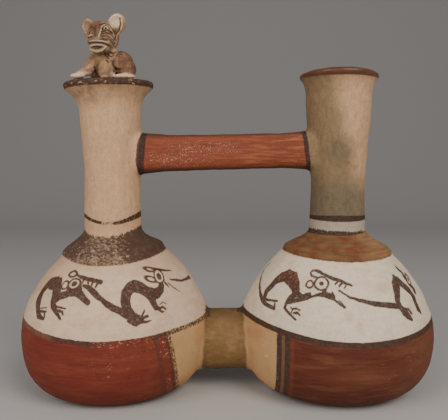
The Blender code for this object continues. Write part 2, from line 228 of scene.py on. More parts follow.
class VesselColours(bpy.types.PropertyGroup):
    """The clay's and the slips' colours."""

    clay: colour("Buff clay", "The bare fired clay", 192, 153, 107)
    pale_clay: colour("Pale clay", "The wiped clay of the whistle neck", 207, 167, 129)
    fired_clay: colour("Fired clay", "Clay reddened by the fire", 176, 116, 72)
    # tube_clay is darker than the clay's browning alone: part of it is painted shade for the recessed tube
    tube_clay: colour("Tube clay", "The browned clay of the tube", 124, 94, 58)
    # On the open neck, olive_clay and smoked_clay also stand for painted shade on its inner side and low down
    olive_clay: colour("Olive clay", "The open neck's clay where the fire dulled it", 140, 116, 84)
    smoked_clay: colour("Smoked clay", "Clay greyed by the fire", 105, 94, 75)
    cream_slip: colour("Cream slip", "The ground of the whistle side's picture", 219, 191, 164)
    white_slip: colour("White slip", "The ground of the open side's picture", 224, 207, 184)
    red_slip: colour("Red slip", "The whistle side's belly", 114, 45, 32)
    dark_red_slip: colour("Dark red slip", "The open side's belly", 92, 42, 27)
    handle_slip: colour("Handle slip", "The red of the handle", 132, 66, 44)
    orange_slip: colour("Orange slip", "The open side's collar", 119, 86, 54)
    brown_paint: colour("Brown paint", "Lines and animals", 76, 54, 44)
    dark_paint: colour("Dark paint", "Bands on necks and collar", 62, 47, 38)
    gloss_slip: colour("Burnished slip", "The mouth's rolled lip", 98, 62, 44)


# Outlines of the turned walls, as (radius, height) pairs from the foot up


class Shape:
    """The measures that follow from the sizes."""

    def __init__(self, sizes):
        self.sizes = sizes
        self.collar_top = sizes.chamber_height + sizes.collar_rise
        self.neck_top = self.collar_top + sizes.neck_length
        self.mouth_top = self.neck_top + LIP_HEIGHT + MOUTH_RISE
        self.lid_top = self.neck_top + LID_EDGE + LID_DOME
        span = sizes.axis_spacing + sizes.open_chamber_radius + OPEN_BELLY_SHIFT
        span += sizes.whistle_chamber_radius
        self.open_axis = span / 2 - sizes.open_chamber_radius - OPEN_BELLY_SHIFT
        self.whistle_axis = sizes.whistle_chamber_radius - span / 2
        self.tube_start = self.whistle_axis + sizes.whistle_chamber_radius
        self.tube_end = self.open_axis + OPEN_BELLY_SHIFT - sizes.open_chamber_radius
        self.handle_level = self.collar_top + HANDLE_ABOVE_COLLAR

    def neck_lean(self, height):
        """How far the whistle neck has bent outward at this height."""
        return WHISTLE_NECK_LEAN * (max(height - self.collar_top, 0) / self.sizes.neck_length) ** 3

    def chamber(self, radius, collar):
        sizes = self.sizes
        foot, equator = sizes.foot_radius, sizes.equator_level
        outline = []
        for turn in spread(0, math.pi / 2, 34):
            drop = math.cos(turn) ** 0.75
            swell = (1 - drop**2.7) ** (1 / 2.1)
            outline.append((foot + (radius - foot) * swell, equator * (1 - drop)))
        for rise in spread(0, 1, 34)[1:]:
            height = equator + rise * (sizes.chamber_height - equator)
            outline.append((radius - (radius - collar) * rise**2.1, height))
        return outline

    def collar(self, collar, neck):
        """An S curve from just above the chamber's top, up into the neck."""
        bottom = self.sizes.chamber_height + COLLAR_STEP
        foot = neck + NECK_FOOT_FLARE
        outline = []
        for rise in spread(0, 1, 16):
            swing = (0.5 + math.cos(math.pi * rise) / 2) ** 1.5
            outline.append((foot + (collar - foot) * swing, bottom + rise * (self.collar_top - bottom)))
        return outline

    def neck(self, neck, swell, top):
        """A slight flare above the collar, and a swell towards the top."""
        outline = []
        for height in spread(self.collar_top, top, 56)[1:]:
            rise = (height - self.collar_top) / self.sizes.neck_length
            flare = NECK_FOOT_FLARE * (1 - smooth(rise / 0.25))
            outline.append((neck + flare + swell * smooth((rise - 0.28) / 0.72), height))
        return outline

    def flare(self, start, end, bottom, top, power, count=14):
        return [
            (start + (end - start) * rise**power, bottom + rise * (top - bottom))
            for rise in spread(0, 1, count)[1:]
        ]

    def lower_open(self):
        sizes = self.sizes
        return (
            self.chamber(sizes.open_chamber_radius, sizes.open_collar_radius - COLLAR_STEP)
            + self.collar(sizes.open_collar_radius, sizes.open_neck_radius)
            + self.neck(
                sizes.open_neck_radius, OPEN_NECK_SWELL, self.mouth_top - LIP_HEIGHT - MOUTH_FLARE_LENGTH
            )
        )

    def open_wall(self):
        """The open side from its foot, round the rolled lip, to the bottom of the dish in its mouth."""
        lower = self.lower_open()
        start, flare_start = lower[-1]
        mouth = self.sizes.mouth_radius
        under = self.flare(
            start, mouth - LIP_OVERHANG, flare_start, self.mouth_top - LIP_HEIGHT, 2.4
        )
        roll = LIP_HEIGHT / 2
        lip = [
            (mouth - roll + math.cos(turn) * roll, self.mouth_top - roll + math.sin(turn) * roll)
            for turn in spread(-math.pi / 3, math.pi * 0.93, 16)
        ]
        inner, bottom = start - NECK_WALL, flare_start - 0.010
        dish = [
            (inner + (lip[-1][0] - inner) * rise**2.0, bottom + rise * (lip[-1][1] - bottom))
            for rise in spread(1, 0, 14)[1:]
        ]
        return lower + under + lip + dish

    def lower_whistle(self, top):
        sizes = self.sizes
        return (
            self.chamber(sizes.whistle_chamber_radius, sizes.whistle_collar_radius - COLLAR_STEP)
            + self.collar(sizes.whistle_collar_radius, sizes.whistle_neck_radius)
            + self.neck(sizes.whistle_neck_radius, WHISTLE_NECK_SWELL, top)
        )

    def whistle_wall(self):
        lower = self.lower_whistle(self.neck_top - LID_FLARE_LENGTH)
        start, flare_start = lower[-1]
        lid = self.sizes.lid_radius
        bulge = LID_EDGE / 8
        edge = [
            (lid + bulge, self.neck_top + LID_EDGE / 2),
            (lid + bulge * 0.4, self.neck_top + LID_EDGE * 0.8),
            (lid - bulge, self.neck_top + LID_EDGE),
            (lid * 0.60, self.lid_top - LID_DOME * 0.25),
            (lid * 0.25, self.lid_top),
        ]
        return lower + self.flare(start, lid, flare_start, self.neck_top, 2.7) + edge

    def inside(self, outline):
        """The outline one wall further in, measured square to it, from the floor up."""
        points = []
        for before, here, after in zip(outline, outline[1:], outline[2:]):
            along = Vector(after) - Vector(before)
            inward = Vector((-along.y, along.x)).normalized()
            up_collar = smooth((here[1] - self.sizes.chamber_height) / self.sizes.collar_rise)
            points.append(Vector(here) + inward * (CHAMBER_WALL + (NECK_WALL - CHAMBER_WALL) * up_collar))
        return [tuple(point) for point in points if point.y > FLOOR_THICKNESS]

    def open_hollow(self):
        """The inside of the open side, up into the dish, a hair wider so that it cuts right out."""
        inner = self.inside(self.lower_open())
        top = self.mouth_top - LIP_HEIGHT - MOUTH_FLARE_LENGTH - 0.004
        inner = [point for point in inner if point[1] < top]
        return inner + [(inner[-1][0] + 0.0002, top + 0.002)]

    def whistle_hollow(self):
        """The inside of the closed side, up to the underside of the lid."""
        ceiling = self.lid_top - LID_DOME - LID_THICKNESS
        inner = [point for point in self.inside(self.lower_whistle(ceiling)) if point[1] < ceiling]
        return inner + [(inner[-1][0], ceiling)]

    def tilt(self, height, band_tilt, collar_tilt):
        """The slope of a ring at this height. The foot stays flat."""
        sizes = self.sizes
        off_foot = smooth(height / sizes.equator_level)
        at_band = bell(height - sizes.equator_level - BAND_ABOVE_EQUATOR, BAND_SPREAD)
        over = height - sizes.chamber_height
        at_collar = bell(over, sizes.collar_rise * (0.5 if over > 0 else 1.5))
        return off_foot * (band_tilt * at_band + collar_tilt * at_collar)

    def open_rings(self, outline):
        rings = []
        for radius, height in outline:
            equator = self.sizes.equator_level
            at_belly = smooth(height / equator) * bell(height - equator, equator)
            x = self.open_axis + OPEN_BELLY_SHIFT * at_belly
            rings.append((radius, x, height, self.tilt(height, OPEN_BAND_TILT, OPEN_COLLAR_TILT)))
        return rings

    def whistle_rings(self, outline):
        rings = []
        for radius, height in outline:
            askew = WHISTLE_LID_TILT * smooth((height - self.neck_top) / LID_FLARE_LENGTH + 1)
            slope = self.tilt(height, WHISTLE_BAND_TILT, WHISTLE_COLLAR_TILT) + askew
            rings.append((radius, self.whistle_axis - self.neck_lean(height), height, slope))
        return rings


# Modelling by hand


def deselect():
    bpy.ops.object.select_all(action="DESELECT")


def only(*things):
    """Selects these alone, the last of them active."""
    deselect()
    for thing in things:
        thing.select_set(True)
    bpy.context.view_layer.objects.active = things[-1]


def apply_modifier(thing, kind, **settings):
    only(thing)
    modifier = thing.modifiers.new(kind.lower(), kind)
    for name, value in settings.items():
        setattr(modifier, name, value)
    bpy.ops.object.modifier_apply(modifier=modifier.name)


def settle(thing, name):
    """Puts the object at the origin, with its place in its mesh."""
    only(thing)
    bpy.ops.object.transform_apply(location=True, rotation=True, scale=True)
    thing.name = thing.data.name = name
    return thing


def throw(name, rings, sides):
    """Raises a closed wall ring by ring, as on a wheel. A ring is (radius, x, height, slope)."""
    radius, x, height, slope = rings[0]
    deselect()
    bpy.ops.mesh.primitive_circle_add(
        vertices=sides, radius=radius, fill_type="NGON", location=(x, 0, height)
    )
    wall = bpy.context.object
    bpy.ops.object.mode_set(mode="EDIT")
    for next_radius, next_x, next_height, next_slope in rings[1:]:
        bpy.ops.mesh.extrude_region_move(
            TRANSFORM_OT_translate={"value": (next_x - x, 0, next_height - height)}
        )
        grow = next_radius / radius
        centre = (next_x, 0, next_height)
        bpy.ops.transform.resize(value=(grow, grow, grow), center_override=centre)
        turn = math.atan(next_slope) - math.atan(slope)
        if abs(turn) > 1e-6:
            bpy.ops.transform.rotate(value=turn, orient_axis="Y", center_override=centre)
        radius, x, height, slope = next_radius, next_x, next_height, next_slope
    bpy.ops.mesh.select_all(action="SELECT")
    bpy.ops.mesh.normals_make_consistent(inside=False)
    bpy.ops.object.mode_set(mode="OBJECT")
    return settle(wall, name)


def draw_out(name, start, stations):
    """Draws a section out along X. A station is (x, height, width share, height share)."""
    bpy.ops.object.mode_set(mode="EDIT")
    x, level = start
    wide = tall = 1
    for next_x, next_level, next_wide, next_tall in stations:
        bpy.ops.mesh.extrude_region_move(
            TRANSFORM_OT_translate={"value": (next_x - x, 0, next_level - level)}
        )
        bpy.ops.transform.resize(
            value=(1, next_wide / wide, next_tall / tall), center_override=(next_x, 0, next_level)
        )
        x, level, wide, tall = next_x, next_level, next_wide, next_tall
    bpy.ops.mesh.select_all(action="SELECT")
    bpy.ops.mesh.normals_make_consistent(inside=False)
    bpy.ops.object.mode_set(mode="OBJECT")
    return settle(bpy.context.object, name)


def build_tube(shape):
    """A short round tube, a little flatter from front to back, that flares into both chambers."""
    radius, level = shape.sizes.tube_radius, TUBE_LEVEL
    low, high = shape.tube_start - TUBE_BURIED, shape.tube_end + TUBE_BURIED
    deselect()
    bpy.ops.mesh.primitive_circle_add(
        vertices=72, radius=radius, fill_type="NGON", location=(low, 0, level), rotation=(0, math.pi / 2, 0)
    )
    bpy.ops.object.transform_apply(location=True, rotation=True, scale=True)
    bpy.ops.object.mode_set(mode="EDIT")
    bpy.ops.transform.resize(value=(1, TUBE_FLATNESS, 1), center_override=(low, 0, level))
    bpy.ops.object.mode_set(mode="OBJECT")
    stations = []
    for x in spread(low, high, 40)[1:]:
        from_end = min(x - low, high - x)
        flare = 1 + TUBE_FLARE * (smooth(1 - from_end / (TUBE_BURIED + 0.002)) - 1)
        stations.append((x, level, flare, flare))
    return draw_out("tube", (low, level), stations)


def reach_to_tube(thing, axis, towards, reach, spread_up):
    """Lets a chamber bulge a little towards the tube, where clay was added to join them."""
    for vert in thing.data.vertices:
        x, y, z = vert.co.x - axis, vert.co.y, vert.co.z
        facing = x * towards / max(math.hypot(x, y), MM)
        vert.co.x += towards * reach * smooth((facing - 0.72) / 0.28) * bell(z - REACH_LEVEL, spread_up)


def build_handle(shape):
    """The bar between the necks, with rounded corners, which grows a little towards both ends."""
    sizes = shape.sizes
    level = shape.handle_level
    start = shape.whistle_axis - shape.neck_lean(level)
    end = shape.open_axis

    def flare(along):
        return HANDLE_END_FLARE * smooth((abs(2 * along - 1) - 0.45) / 0.35)

    def half_height(along):
        return (sizes.handle_height + HANDLE_TAPER * (0.5 - along)) / 2 + flare(along)

    def half_depth(along):
        return sizes.handle_depth / 2 + flare(along)

    deselect()
    low = level - HANDLE_CLIMB / 2
    bpy.ops.mesh.primitive_plane_add(size=2, location=(start, 0, low), rotation=(0, math.pi / 2, 0))
    bpy.ops.object.transform_apply(location=True, rotation=True, scale=True)
    bpy.ops.object.mode_set(mode="EDIT")
    bpy.ops.transform.resize(value=(1, half_depth(0), half_height(0)), center_override=(start, 0, low))
    bpy.ops.mesh.bevel(
        offset=HANDLE_CORNER, offset_type="OFFSET", segments=12, profile=0.5, affect="VERTICES"
    )
    bpy.ops.object.mode_set(mode="OBJECT")
    stations = []
    for along in spread(0, 1, 60)[1:]:
        rise = HANDLE_CLIMB * (smooth(along) - 0.5)
        wide, tall = half_depth(along) / half_depth(0), half_height(along) / half_height(0)
        stations.append((start + along * (end - start), level + rise, wide, tall))
    return draw_out("handle", (start, low), stations)


def build_rod(name, radius, location, rotation, depth):
    deselect()
    bpy.ops.mesh.primitive_cylinder_add(
        vertices=48, radius=radius, depth=depth, location=location, rotation=rotation
    )
    return settle(bpy.context.object, name)


def weigh(thing, name, weight):
    """A vertex group whose weights come from each vertex's place."""
    group = thing.vertex_groups.new(name=name)
    for vert in thing.data.vertices:
        share = weight(vert.co)
        if share > 0:
            group.add([vert.index], share, "REPLACE")
    return group.name


def ripple(thing, group, size, strength, kind="CLOUDS", **settings):
    """Small unevenness pressed into the clay: size of its swells, and their height."""
    texture = bpy.data.textures.new(group, kind)
    texture.noise_scale = size
    for name, value in settings.items():
        setattr(texture, name, value)
    apply_modifier(
        thing,
        "DISPLACE",
        texture=texture,
        texture_coords="LOCAL",
        strength=strength,
        mid_level=0.5,
        vertex_group=group,
    )


def drop_crumbs(thing):
    """Closes hairline slivers and deletes every loose scrap but the piece itself."""
    only(thing)
    bpy.ops.object.mode_set(mode="EDIT")
    bpy.ops.mesh.select_all(action="SELECT")
    bpy.ops.mesh.remove_doubles(threshold=SLIVER)
    bpy.ops.mesh.dissolve_degenerate(threshold=SLIVER)
    bpy.ops.mesh.separate(type="LOOSE")
    bpy.ops.object.mode_set(mode="OBJECT")
    parts = sorted(bpy.context.selected_objects, key=lambda part: len(part.data.polygons))
    for crumb in parts[:-1]:
        bpy.data.objects.remove(crumb, do_unlink=True)
    return parts[-1]


# The wall


def sag_mouth(wall, shape):
    """Lets the mouth's two sides sink a little, as wet clay does."""
    radius = shape.sizes.mouth_radius
    for vert in wall.data.vertices:
        share = smooth((vert.co.z - shape.mouth_top) / MOUTH_FLARE_LENGTH + 1)
        vert.co.z -= MOUTH_SAG * ((vert.co.x - shape.open_axis) / radius) ** 2 * share


def build_wall(shape):
    """The outer masses made one, softened and made uneven, with the hollows cut out."""
    open_side = throw("open_side", shape.open_rings(shape.open_wall()), WALL_SIDES)
    sag_mouth(open_side, shape)
    reach_to_tube(open_side, shape.open_axis, -1, OPEN_REACH, 0.018)
    whistle_side = throw("whistle_side", shape.whistle_rings(shape.whistle_wall()), WALL_SIDES)
    reach_to_tube(whistle_side, shape.whistle_axis, 1, WHISTLE_REACH, 0.022)
    tube, handle = build_tube(shape), build_handle(shape)
    only(tube, handle, whistle_side, open_side)
    bpy.ops.object.join()
    wall = bpy.context.object
    wall.name = wall.data.name = "vessel_wall"
    apply_modifier(wall, "REMESH", mode="VOXEL", voxel_size=WALL_GRAIN)

    def near_joint(place):
        middle = (shape.tube_start + shape.tube_end) / 2
        at_tube = 0.25 * bell(abs(place.x - middle) - 0.012, 0.010) * smooth((0.075 - place.z) / 0.02)
        at_handle = max(
            bell(abs(place.x - axis) - 0.019, 0.006) * bell(place.z - shape.handle_level, 0.016)
            for axis in (shape.open_axis, shape.whistle_axis)
        )
        return min(1, max(at_tube, at_handle) * smooth(place.z / 0.004))

    joints = weigh(wall, "joints", near_joint)
    apply_modifier(wall, "SMOOTH", factor=0.5, iterations=30, vertex_group=joints)
    off_foot = weigh(wall, "off_foot", lambda place: smooth(place.z / 0.006))
    apply_modifier(wall, "SMOOTH", factor=0.5, iterations=2, vertex_group=off_foot)
    ripple(wall, off_foot, *WALL_SWELLS)
    ripple(wall, off_foot, *WALL_BUMPS, noise_depth=2)
    apply_modifier(wall, "DECIMATE", ratio=WALL_KEEP)

    hollows = [
        throw("open_hollow", shape.open_rings(shape.open_hollow()), HOLLOW_SIDES),
        throw("whistle_hollow", shape.whistle_rings(shape.whistle_hollow()), HOLLOW_SIDES),
    ]
    bore = shape.sizes.tube_radius - TUBE_WALL
    low = shape.tube_start - CHAMBER_WALL - bore
    high = shape.tube_end + CHAMBER_WALL + bore
    along_x, along_y = (0, math.pi / 2, 0), (math.pi / 2, 0, 0)
    hollows.append(build_rod("tube_bore", bore, ((low + high) / 2, 0, TUBE_LEVEL), along_x, high - low))
    level = shape.neck_top - WHISTLE_HOLE_DROP
    reach = shape.sizes.lid_radius
    x = shape.whistle_axis - shape.neck_lean(level)
    hollows.append(
        build_rod("whistle_hole", WHISTLE_HOLE_RADIUS, (x, reach / 2, level), along_y, reach)
    )
    for hollow in hollows:
        apply_modifier(wall, "BOOLEAN", operation="DIFFERENCE", object=hollow, solver="EXACT")
        bpy.data.objects.remove(hollow, do_unlink=True)
    wall = drop_crumbs(wall)
    wall.name = wall.data.name = "vessel_wall"
    return wall


# Paints. Inside a paint every length is in millimetres.


class Signal:
    """One output of a paint's node tree. Arithmetic on it adds Math nodes."""

    def __init__(self, paint, socket):
        self.paint = paint
        self.socket = socket

    def math(self, operation, *others):
        return self.paint.add("Math", {"operation": operation}, [self, *others])

    def __add__(self, other):
        return self.math("ADD", other)

    def __sub__(self, other):
        return self.math("SUBTRACT", other)

    def __mul__(self, other):
        return self.math("MULTIPLY", other)

    def __truediv__(self, other):
        return self.math("DIVIDE", other)

    def __pow__(self, other):
        return self.math("POWER", other)

    def __neg__(self):
        return self.math("MULTIPLY", -1)

    def __abs__(self):
        return self.math("ABSOLUTE")

    def __radd__(self, other):
        return self.math("ADD", other)

    def __rmul__(self, other):
        return self.math("MULTIPLY", other)

    def __rsub__(self, other):
        return self.paint.add("Math", {"operation": "SUBTRACT"}, [other, self])

    def least(self, other):
        return self.math("MINIMUM", other)

    def most(self, other):
        return self.math("MAXIMUM", other)

    def ramp(self, low, high):
        """0 below low to 1 above high, with soft ends. high may be the lower of the two."""
        settings = {"interpolation_type": "SMOOTHSTEP"}
        return self.paint.add("MapRange", settings, {"Value": self, "From Min": low, "From Max": high})


class Paint:
    """A material and the nodes that are added to it."""

    def __init__(self, name):
        self.material = bpy.data.materials.new(name)
        self.material.use_nodes = True
        self.tree = self.material.node_tree
        self.shader = self.tree.nodes["Principled BSDF"]
        place = self.add("TexCoord", {}, [], output="Object")
        self.place = self.vector("SCALE", place, {"Scale": 1000})
        self.x, self.y, self.z = self.parts(self.place)

    def add(self, kind, settings, sockets, output=0):
        """Adds a node: its settings first, then its sockets by place in a list or by name in a dict."""
        node = self.tree.nodes.new("ShaderNode" + kind)
        for name, value in settings.items():
            setattr(node, name, value)
        named = sockets.items() if isinstance(sockets, dict) else enumerate(sockets)
        for name, value in named:
            if isinstance(value, Signal):
                self.tree.links.new(value.socket, node.inputs[name])
            else:
                node.inputs[name].default_value = value
        return Signal(self, node.outputs[output])

    def vector(self, operation, first, others=(), output=0):
        """A Vector Math node on first and on others, a list, or a dict for its named sockets."""
        sockets = {0: first}
        sockets.update(others if isinstance(others, dict) else {k + 1: v for k, v in enumerate(others)})
        return self.add("VectorMath", {"operation": operation}, sockets, output)

    def parts(self, vector):
        node = self.add("SeparateXYZ", {}, [vector]).socket.node
        return [Signal(self, output) for output in node.outputs]

    def point(self, x, y, z):
        return self.add("CombineXYZ", {}, [x, y, z])

    def noise(self, size, detail=2.0, stretch=(1, 1, 1), seed=0, place=None, roughness=0.5):
        """Soft noise about 0.5. size is in millimetres, and stretch lengthens it along an axis."""
        scale = tuple(1 / (size * s) for s in stretch)
        shift = (seed * 17.3, seed * -9.1, seed * 5.7)
        vector = self.vector("MULTIPLY_ADD", place or self.place, [scale, shift])
        sockets = {"Vector": vector, "Scale": 1.0, "Detail": detail, "Roughness": roughness}
        return self.add("TexNoise", {}, sockets, "Fac")

    def mix(self, mask, under, over):
        """Colour under, with colour over where mask is 1."""
        if not isinstance(under, Signal):
            under = (*under, 1)
        if not isinstance(over, Signal):
            over = (*over, 1)
        settings = {"data_type": "RGBA", "clamp_factor": True}
        return self.add("Mix", settings, {0: mask, 6: under, 7: over}, 2)

    def tint(self, shade, value):
        """The colour made lighter or darker by a number about 1."""
        return self.vector("SCALE", shade, {"Scale": value})

    def finish(self, shade, roughness, height, relief=0.3):
        """Wires colour, roughness and the bump, whose height is in millimetres."""
        self.tree.links.new(shade.socket, self.shader.inputs["Base Color"])
        if isinstance(roughness, Signal):
            self.tree.links.new(roughness.socket, self.shader.inputs["Roughness"])
        else:
            self.shader.inputs["Roughness"].default_value = roughness
        sockets = {"Strength": 1.0, "Distance": relief * MM, "Height": height}
        bump = self.add("Bump", {}, sockets, "Normal")
        self.tree.links.new(bump.socket, self.shader.inputs["Normal"])
        self.shader.inputs["Specular IOR Level"].default_value = CLAY_SHEEN
        return self.material


def times(colour_value, factor):
    """The colour made lighter or darker by a plain number."""
    return tuple(min(c * factor, 1) for c in colour_value)


class Side:
    """Places on one half of the vessel: from its axis, round it, and its painted lines."""

    def __init__(self, paint, shape, axis, lean=0):
        self.paint = paint
        x = paint.x - axis / MM
        if lean:
            rise = (paint.z - shape.collar_top / MM).most(0) * (MM / shape.sizes.neck_length)
            x = x + rise * rise * rise * (lean / MM)
        self.x = x
        flat = paint.point(x, paint.y, 0)
        self.radius = paint.vector("LENGTH", flat, output="Value")
        self.around = paint.vector("NORMALIZE", flat)
        self.s = paint.parts(self.around)[0]
        self.ragged = (paint.noise(1.6, 3, seed=3) - 0.5) * 1.1
        self.wavy = (paint.noise(14, 1, seed=5) - 0.5) * 1.6

    def line(self, level, slope, bow):
        """The height above a painted line, whose level changes round the vessel."""
        return self.paint.z - (self.s * slope + self.s * self.s * bow + level)

    def above(self, level, slope, bow, rag=1.0, soft=0.35):
        """1 above the line, with a brushed edge."""
        edge = self.line(level, slope, bow) + self.ragged * rag + self.wavy * 0.35
        return edge.ramp(-soft, soft)


def specks(paint, size, seed, cover=0.5):
    """Scattered small spots, in clusters. cover is how much of the surface has them."""
    spots = paint.noise(size * 0.75, 3, seed=seed, roughness=0.6, stretch=(1.5, 1.5, 1)).ramp(0.56, 0.66)
    clusters = paint.noise(size * 5, 3, seed=seed + 1).ramp(0.66 - cover / 3, 0.84 - cover / 3)
    return spots * clusters


def grit(paint, seed):
    """The fine sandy grain that shows in every surface, about 0.5."""
    return paint.noise(0.75, 3, seed=seed, roughness=0.7)


def worn(paint, size, seed, amount, soft=0.05):
    """Where paint has flaked off: 1 bare. amount, 0 to 1, may change over the surface."""
    flakes = paint.noise(size, 5, seed=seed, roughness=0.68)
    return (flakes + (amount - 1) * 0.5).ramp(0.27 - soft, 0.27 + soft)


def bare_clay(paint, colours):
    """Buff clay with fire-reddened clouds, sand specks and a fine grain."""
    clouds = paint.noise(20, 3, seed=1)
    fine = grit(paint, 2)
    shade = paint.mix(clouds.ramp(0.48, 0.76) * 0.55, colours.clay, colours.fired_clay)
    shade = paint.tint(shade, fine * 0.55 + 0.73)
    shade = paint.mix(specks(paint, 1.3, 4) * 0.4, shade, colours.smoked_clay)
    return shade, fine


def neck_clay(paint, under, over, seed):
    """Wiped clay: upright strokes, a gritty mottling, and a few small pits."""
    strokes = paint.noise(1.3, 4, stretch=(1, 1, 7), seed=seed, roughness=0.6)
    mottle = paint.noise(2.6, 5, seed=seed + 1, stretch=(1, 1, 1.6), roughness=0.65)
    fine = grit(paint, seed + 2)
    shade = paint.mix(mottle.ramp(0.34, 0.66), under, over)
    shade = paint.tint(shade, strokes * 0.36 + fine * 0.80 + 0.42)
    pits = paint.noise(1.1, 1, seed=seed + 3).ramp(0.775, 0.80)
    shade = paint.mix(pits * 0.8, shade, times(under, 0.30))
    return shade, fine + strokes * 0.5 - pits * 2


def white_ground(paint, slip, clay, seed):
    """The pale slip of the picture bands, with clay showing through in faint clouds."""
    clouds = paint.noise(9, 5, seed=seed, roughness=0.6)
    fine = grit(paint, seed + 1)
    brushed = paint.noise(2.2, 2, stretch=(5, 5, 1), seed=seed + 2)
    shade = paint.mix(clouds.ramp(0.44, 0.68) * 0.55, slip, clay)
    greyed = paint.noise(3.2, 4, seed=seed + 4).ramp(0.50, 0.68)
    shade = paint.mix(greyed * 0.24, shade, DUST)
    shade = paint.tint(shade, fine * 0.55 + brushed * 0.20 + 0.625)
    shade = paint.mix(specks(paint, 1.8, seed + 3, 0.3) * 0.25, shade, times(clay, 0.5))
    return shade, fine + brushed


def red_ground(paint, slip, light, seed, contrast=1.0):
    """Red slip laid on in level brush strokes, with pale sand specks."""
    strokes = paint.noise(1.3, 5, stretch=(11, 11, 1), seed=seed, roughness=0.6)
    broad = paint.noise(4, 4, stretch=(5, 5, 1), seed=seed + 1)
    fine = grit(paint, seed + 2)
    shade = paint.mix(broad.ramp(0.46, 0.70) * 0.5 * contrast, slip, light)
    shade = paint.tint(shade, strokes * 1.1 * contrast + fine * 0.4 + 0.8 - 0.55 * contrast)
    return shade, strokes + fine * 0.5


def brown_lines(paint, colours, dark=1.0):
    """Iron-brown paint, thicker and thinner as the brush left it."""
    pools = paint.noise(1.6, 4, seed=51)
    thin = times(colours.brown_paint, 1.15 * dark)
    return paint.mix(pools.ramp(0.32, 0.70), times(colours.brown_paint, 0.72 * dark), thin)


def white_edge(side, line, past_edge, rag=1.0):
    """Height above the lower edge of the white ground, which turns up and over where the tube begins."""
    edge = side.line(*line).least(past_edge * 0.8) + side.wavy * 0.35
    return edge + side.ragged * rag


def between(side, top, bottom, rag=1.0):
    """1 between two painted heights."""
    return (1 - side.above(*top, rag=rag)) * side.above(*bottom, rag=rag)


def stripe(side, centre, half_width):
    """1 inside an upright stripe, whose middle is at x = centre from the axis."""
    return (abs(side.x - centre) + side.ragged * 0.5 - half_width).ramp(0.3, -0.3)


def buff_and_tube(paint, colours):
    """The bare clay between the bellies: buff on the chambers, browned, grimy and darkened with painted shade
    on the tube.
    """
    clay, fine = bare_clay(paint, colours)
    wave = (paint.noise(6, 2, seed=6) - 0.5) * 1.6
    low = (paint.z - 44) * 0.10
    on_tube = (paint.x + 12.6 - low * 0.6 + wave).ramp(-0.9, 0.9)
    on_tube = on_tube * (paint.x - 9.2 - low * -0.6 + wave).ramp(0.9, -0.9)
    smears = paint.noise(1.0, 4, stretch=(4.5, 4.5, 1), seed=7, roughness=0.6)
    patches = paint.noise(7, 3, seed=8).ramp(0.45, 0.75)
    # The tube's brown is partly the clay's own browning and partly painted shade, as the tube lies recessed
    # between the chambers
    brown = paint.mix(patches * 0.45, colours.tube_clay, times(colours.clay, 0.62))
    brown = paint.tint(brown, smears * 0.9 + fine * 0.5 + 0.3)
    # Darker still at the tube's top, under the chambers, and low down towards its underside: partly grime,
    # partly painted shade
    dark_top_and_bottom = paint.z.ramp(38.0, 46.5).most(paint.z.ramp(19, 9)) * 0.6
    brown = paint.mix(dark_top_and_bottom, brown, times(colours.tube_clay, 0.45))
    shade = paint.mix(on_tube, clay, brown)
    warm = bell_mask(paint, (13.5, -20, 37), (5, 30, 5)) * 0.35
    shade = paint.mix(warm, shade, colours.fired_clay)
    spot = bell_mask(paint, (20.8, -36, 27.5), (1.3, 20, 1.2))
    return paint.mix(spot * 0.5, shade, colours.cream_slip), fine + smears * on_tube * 0.6


def bell_mask(paint, middle, reach):
    """1 at a place on the vessel, fading to 0 at the reach along each axis. All in millimetres."""
    offset = paint.vector("SUBTRACT", paint.place, [middle])
    scaled = paint.vector("DIVIDE", offset, [reach])
    return paint.vector("LENGTH", scaled, output="Value").ramp(1.0, 0.2)


# Painted lines, each by its upper and lower edge: the edge's height in millimetres at the middle of the
# front or back, its slope from the inner to the outer side, and how much higher it stands at the sides
WHISTLE_EQUATOR = ((40.5, -0.41, 5.15), (38.2, 0.50, 4.75))
WHISTLE_COLLAR = ((89.4, 0.75, 3.94), (75.7, 0.76, 4.10))
WHISTLE_BAND = ((97.5, 0.05, 5.19), (95.8, -0.38, 3.73))
OPEN_EQUATOR = ((40.5, -1.15, 6.19), (37.4, -0.70, 6.72))
OPEN_COLLAR = ((90.4, 0.45, 1.05), (77.7, -0.56, 1.91))
OPEN_THIN_LINE = ((92.3, -0.59, 0.23), (89.9, 0.45, 1.05))
OPEN_BAND = ((101.0, -0.05, -0.53), (97.5, -0.06, 0.76))


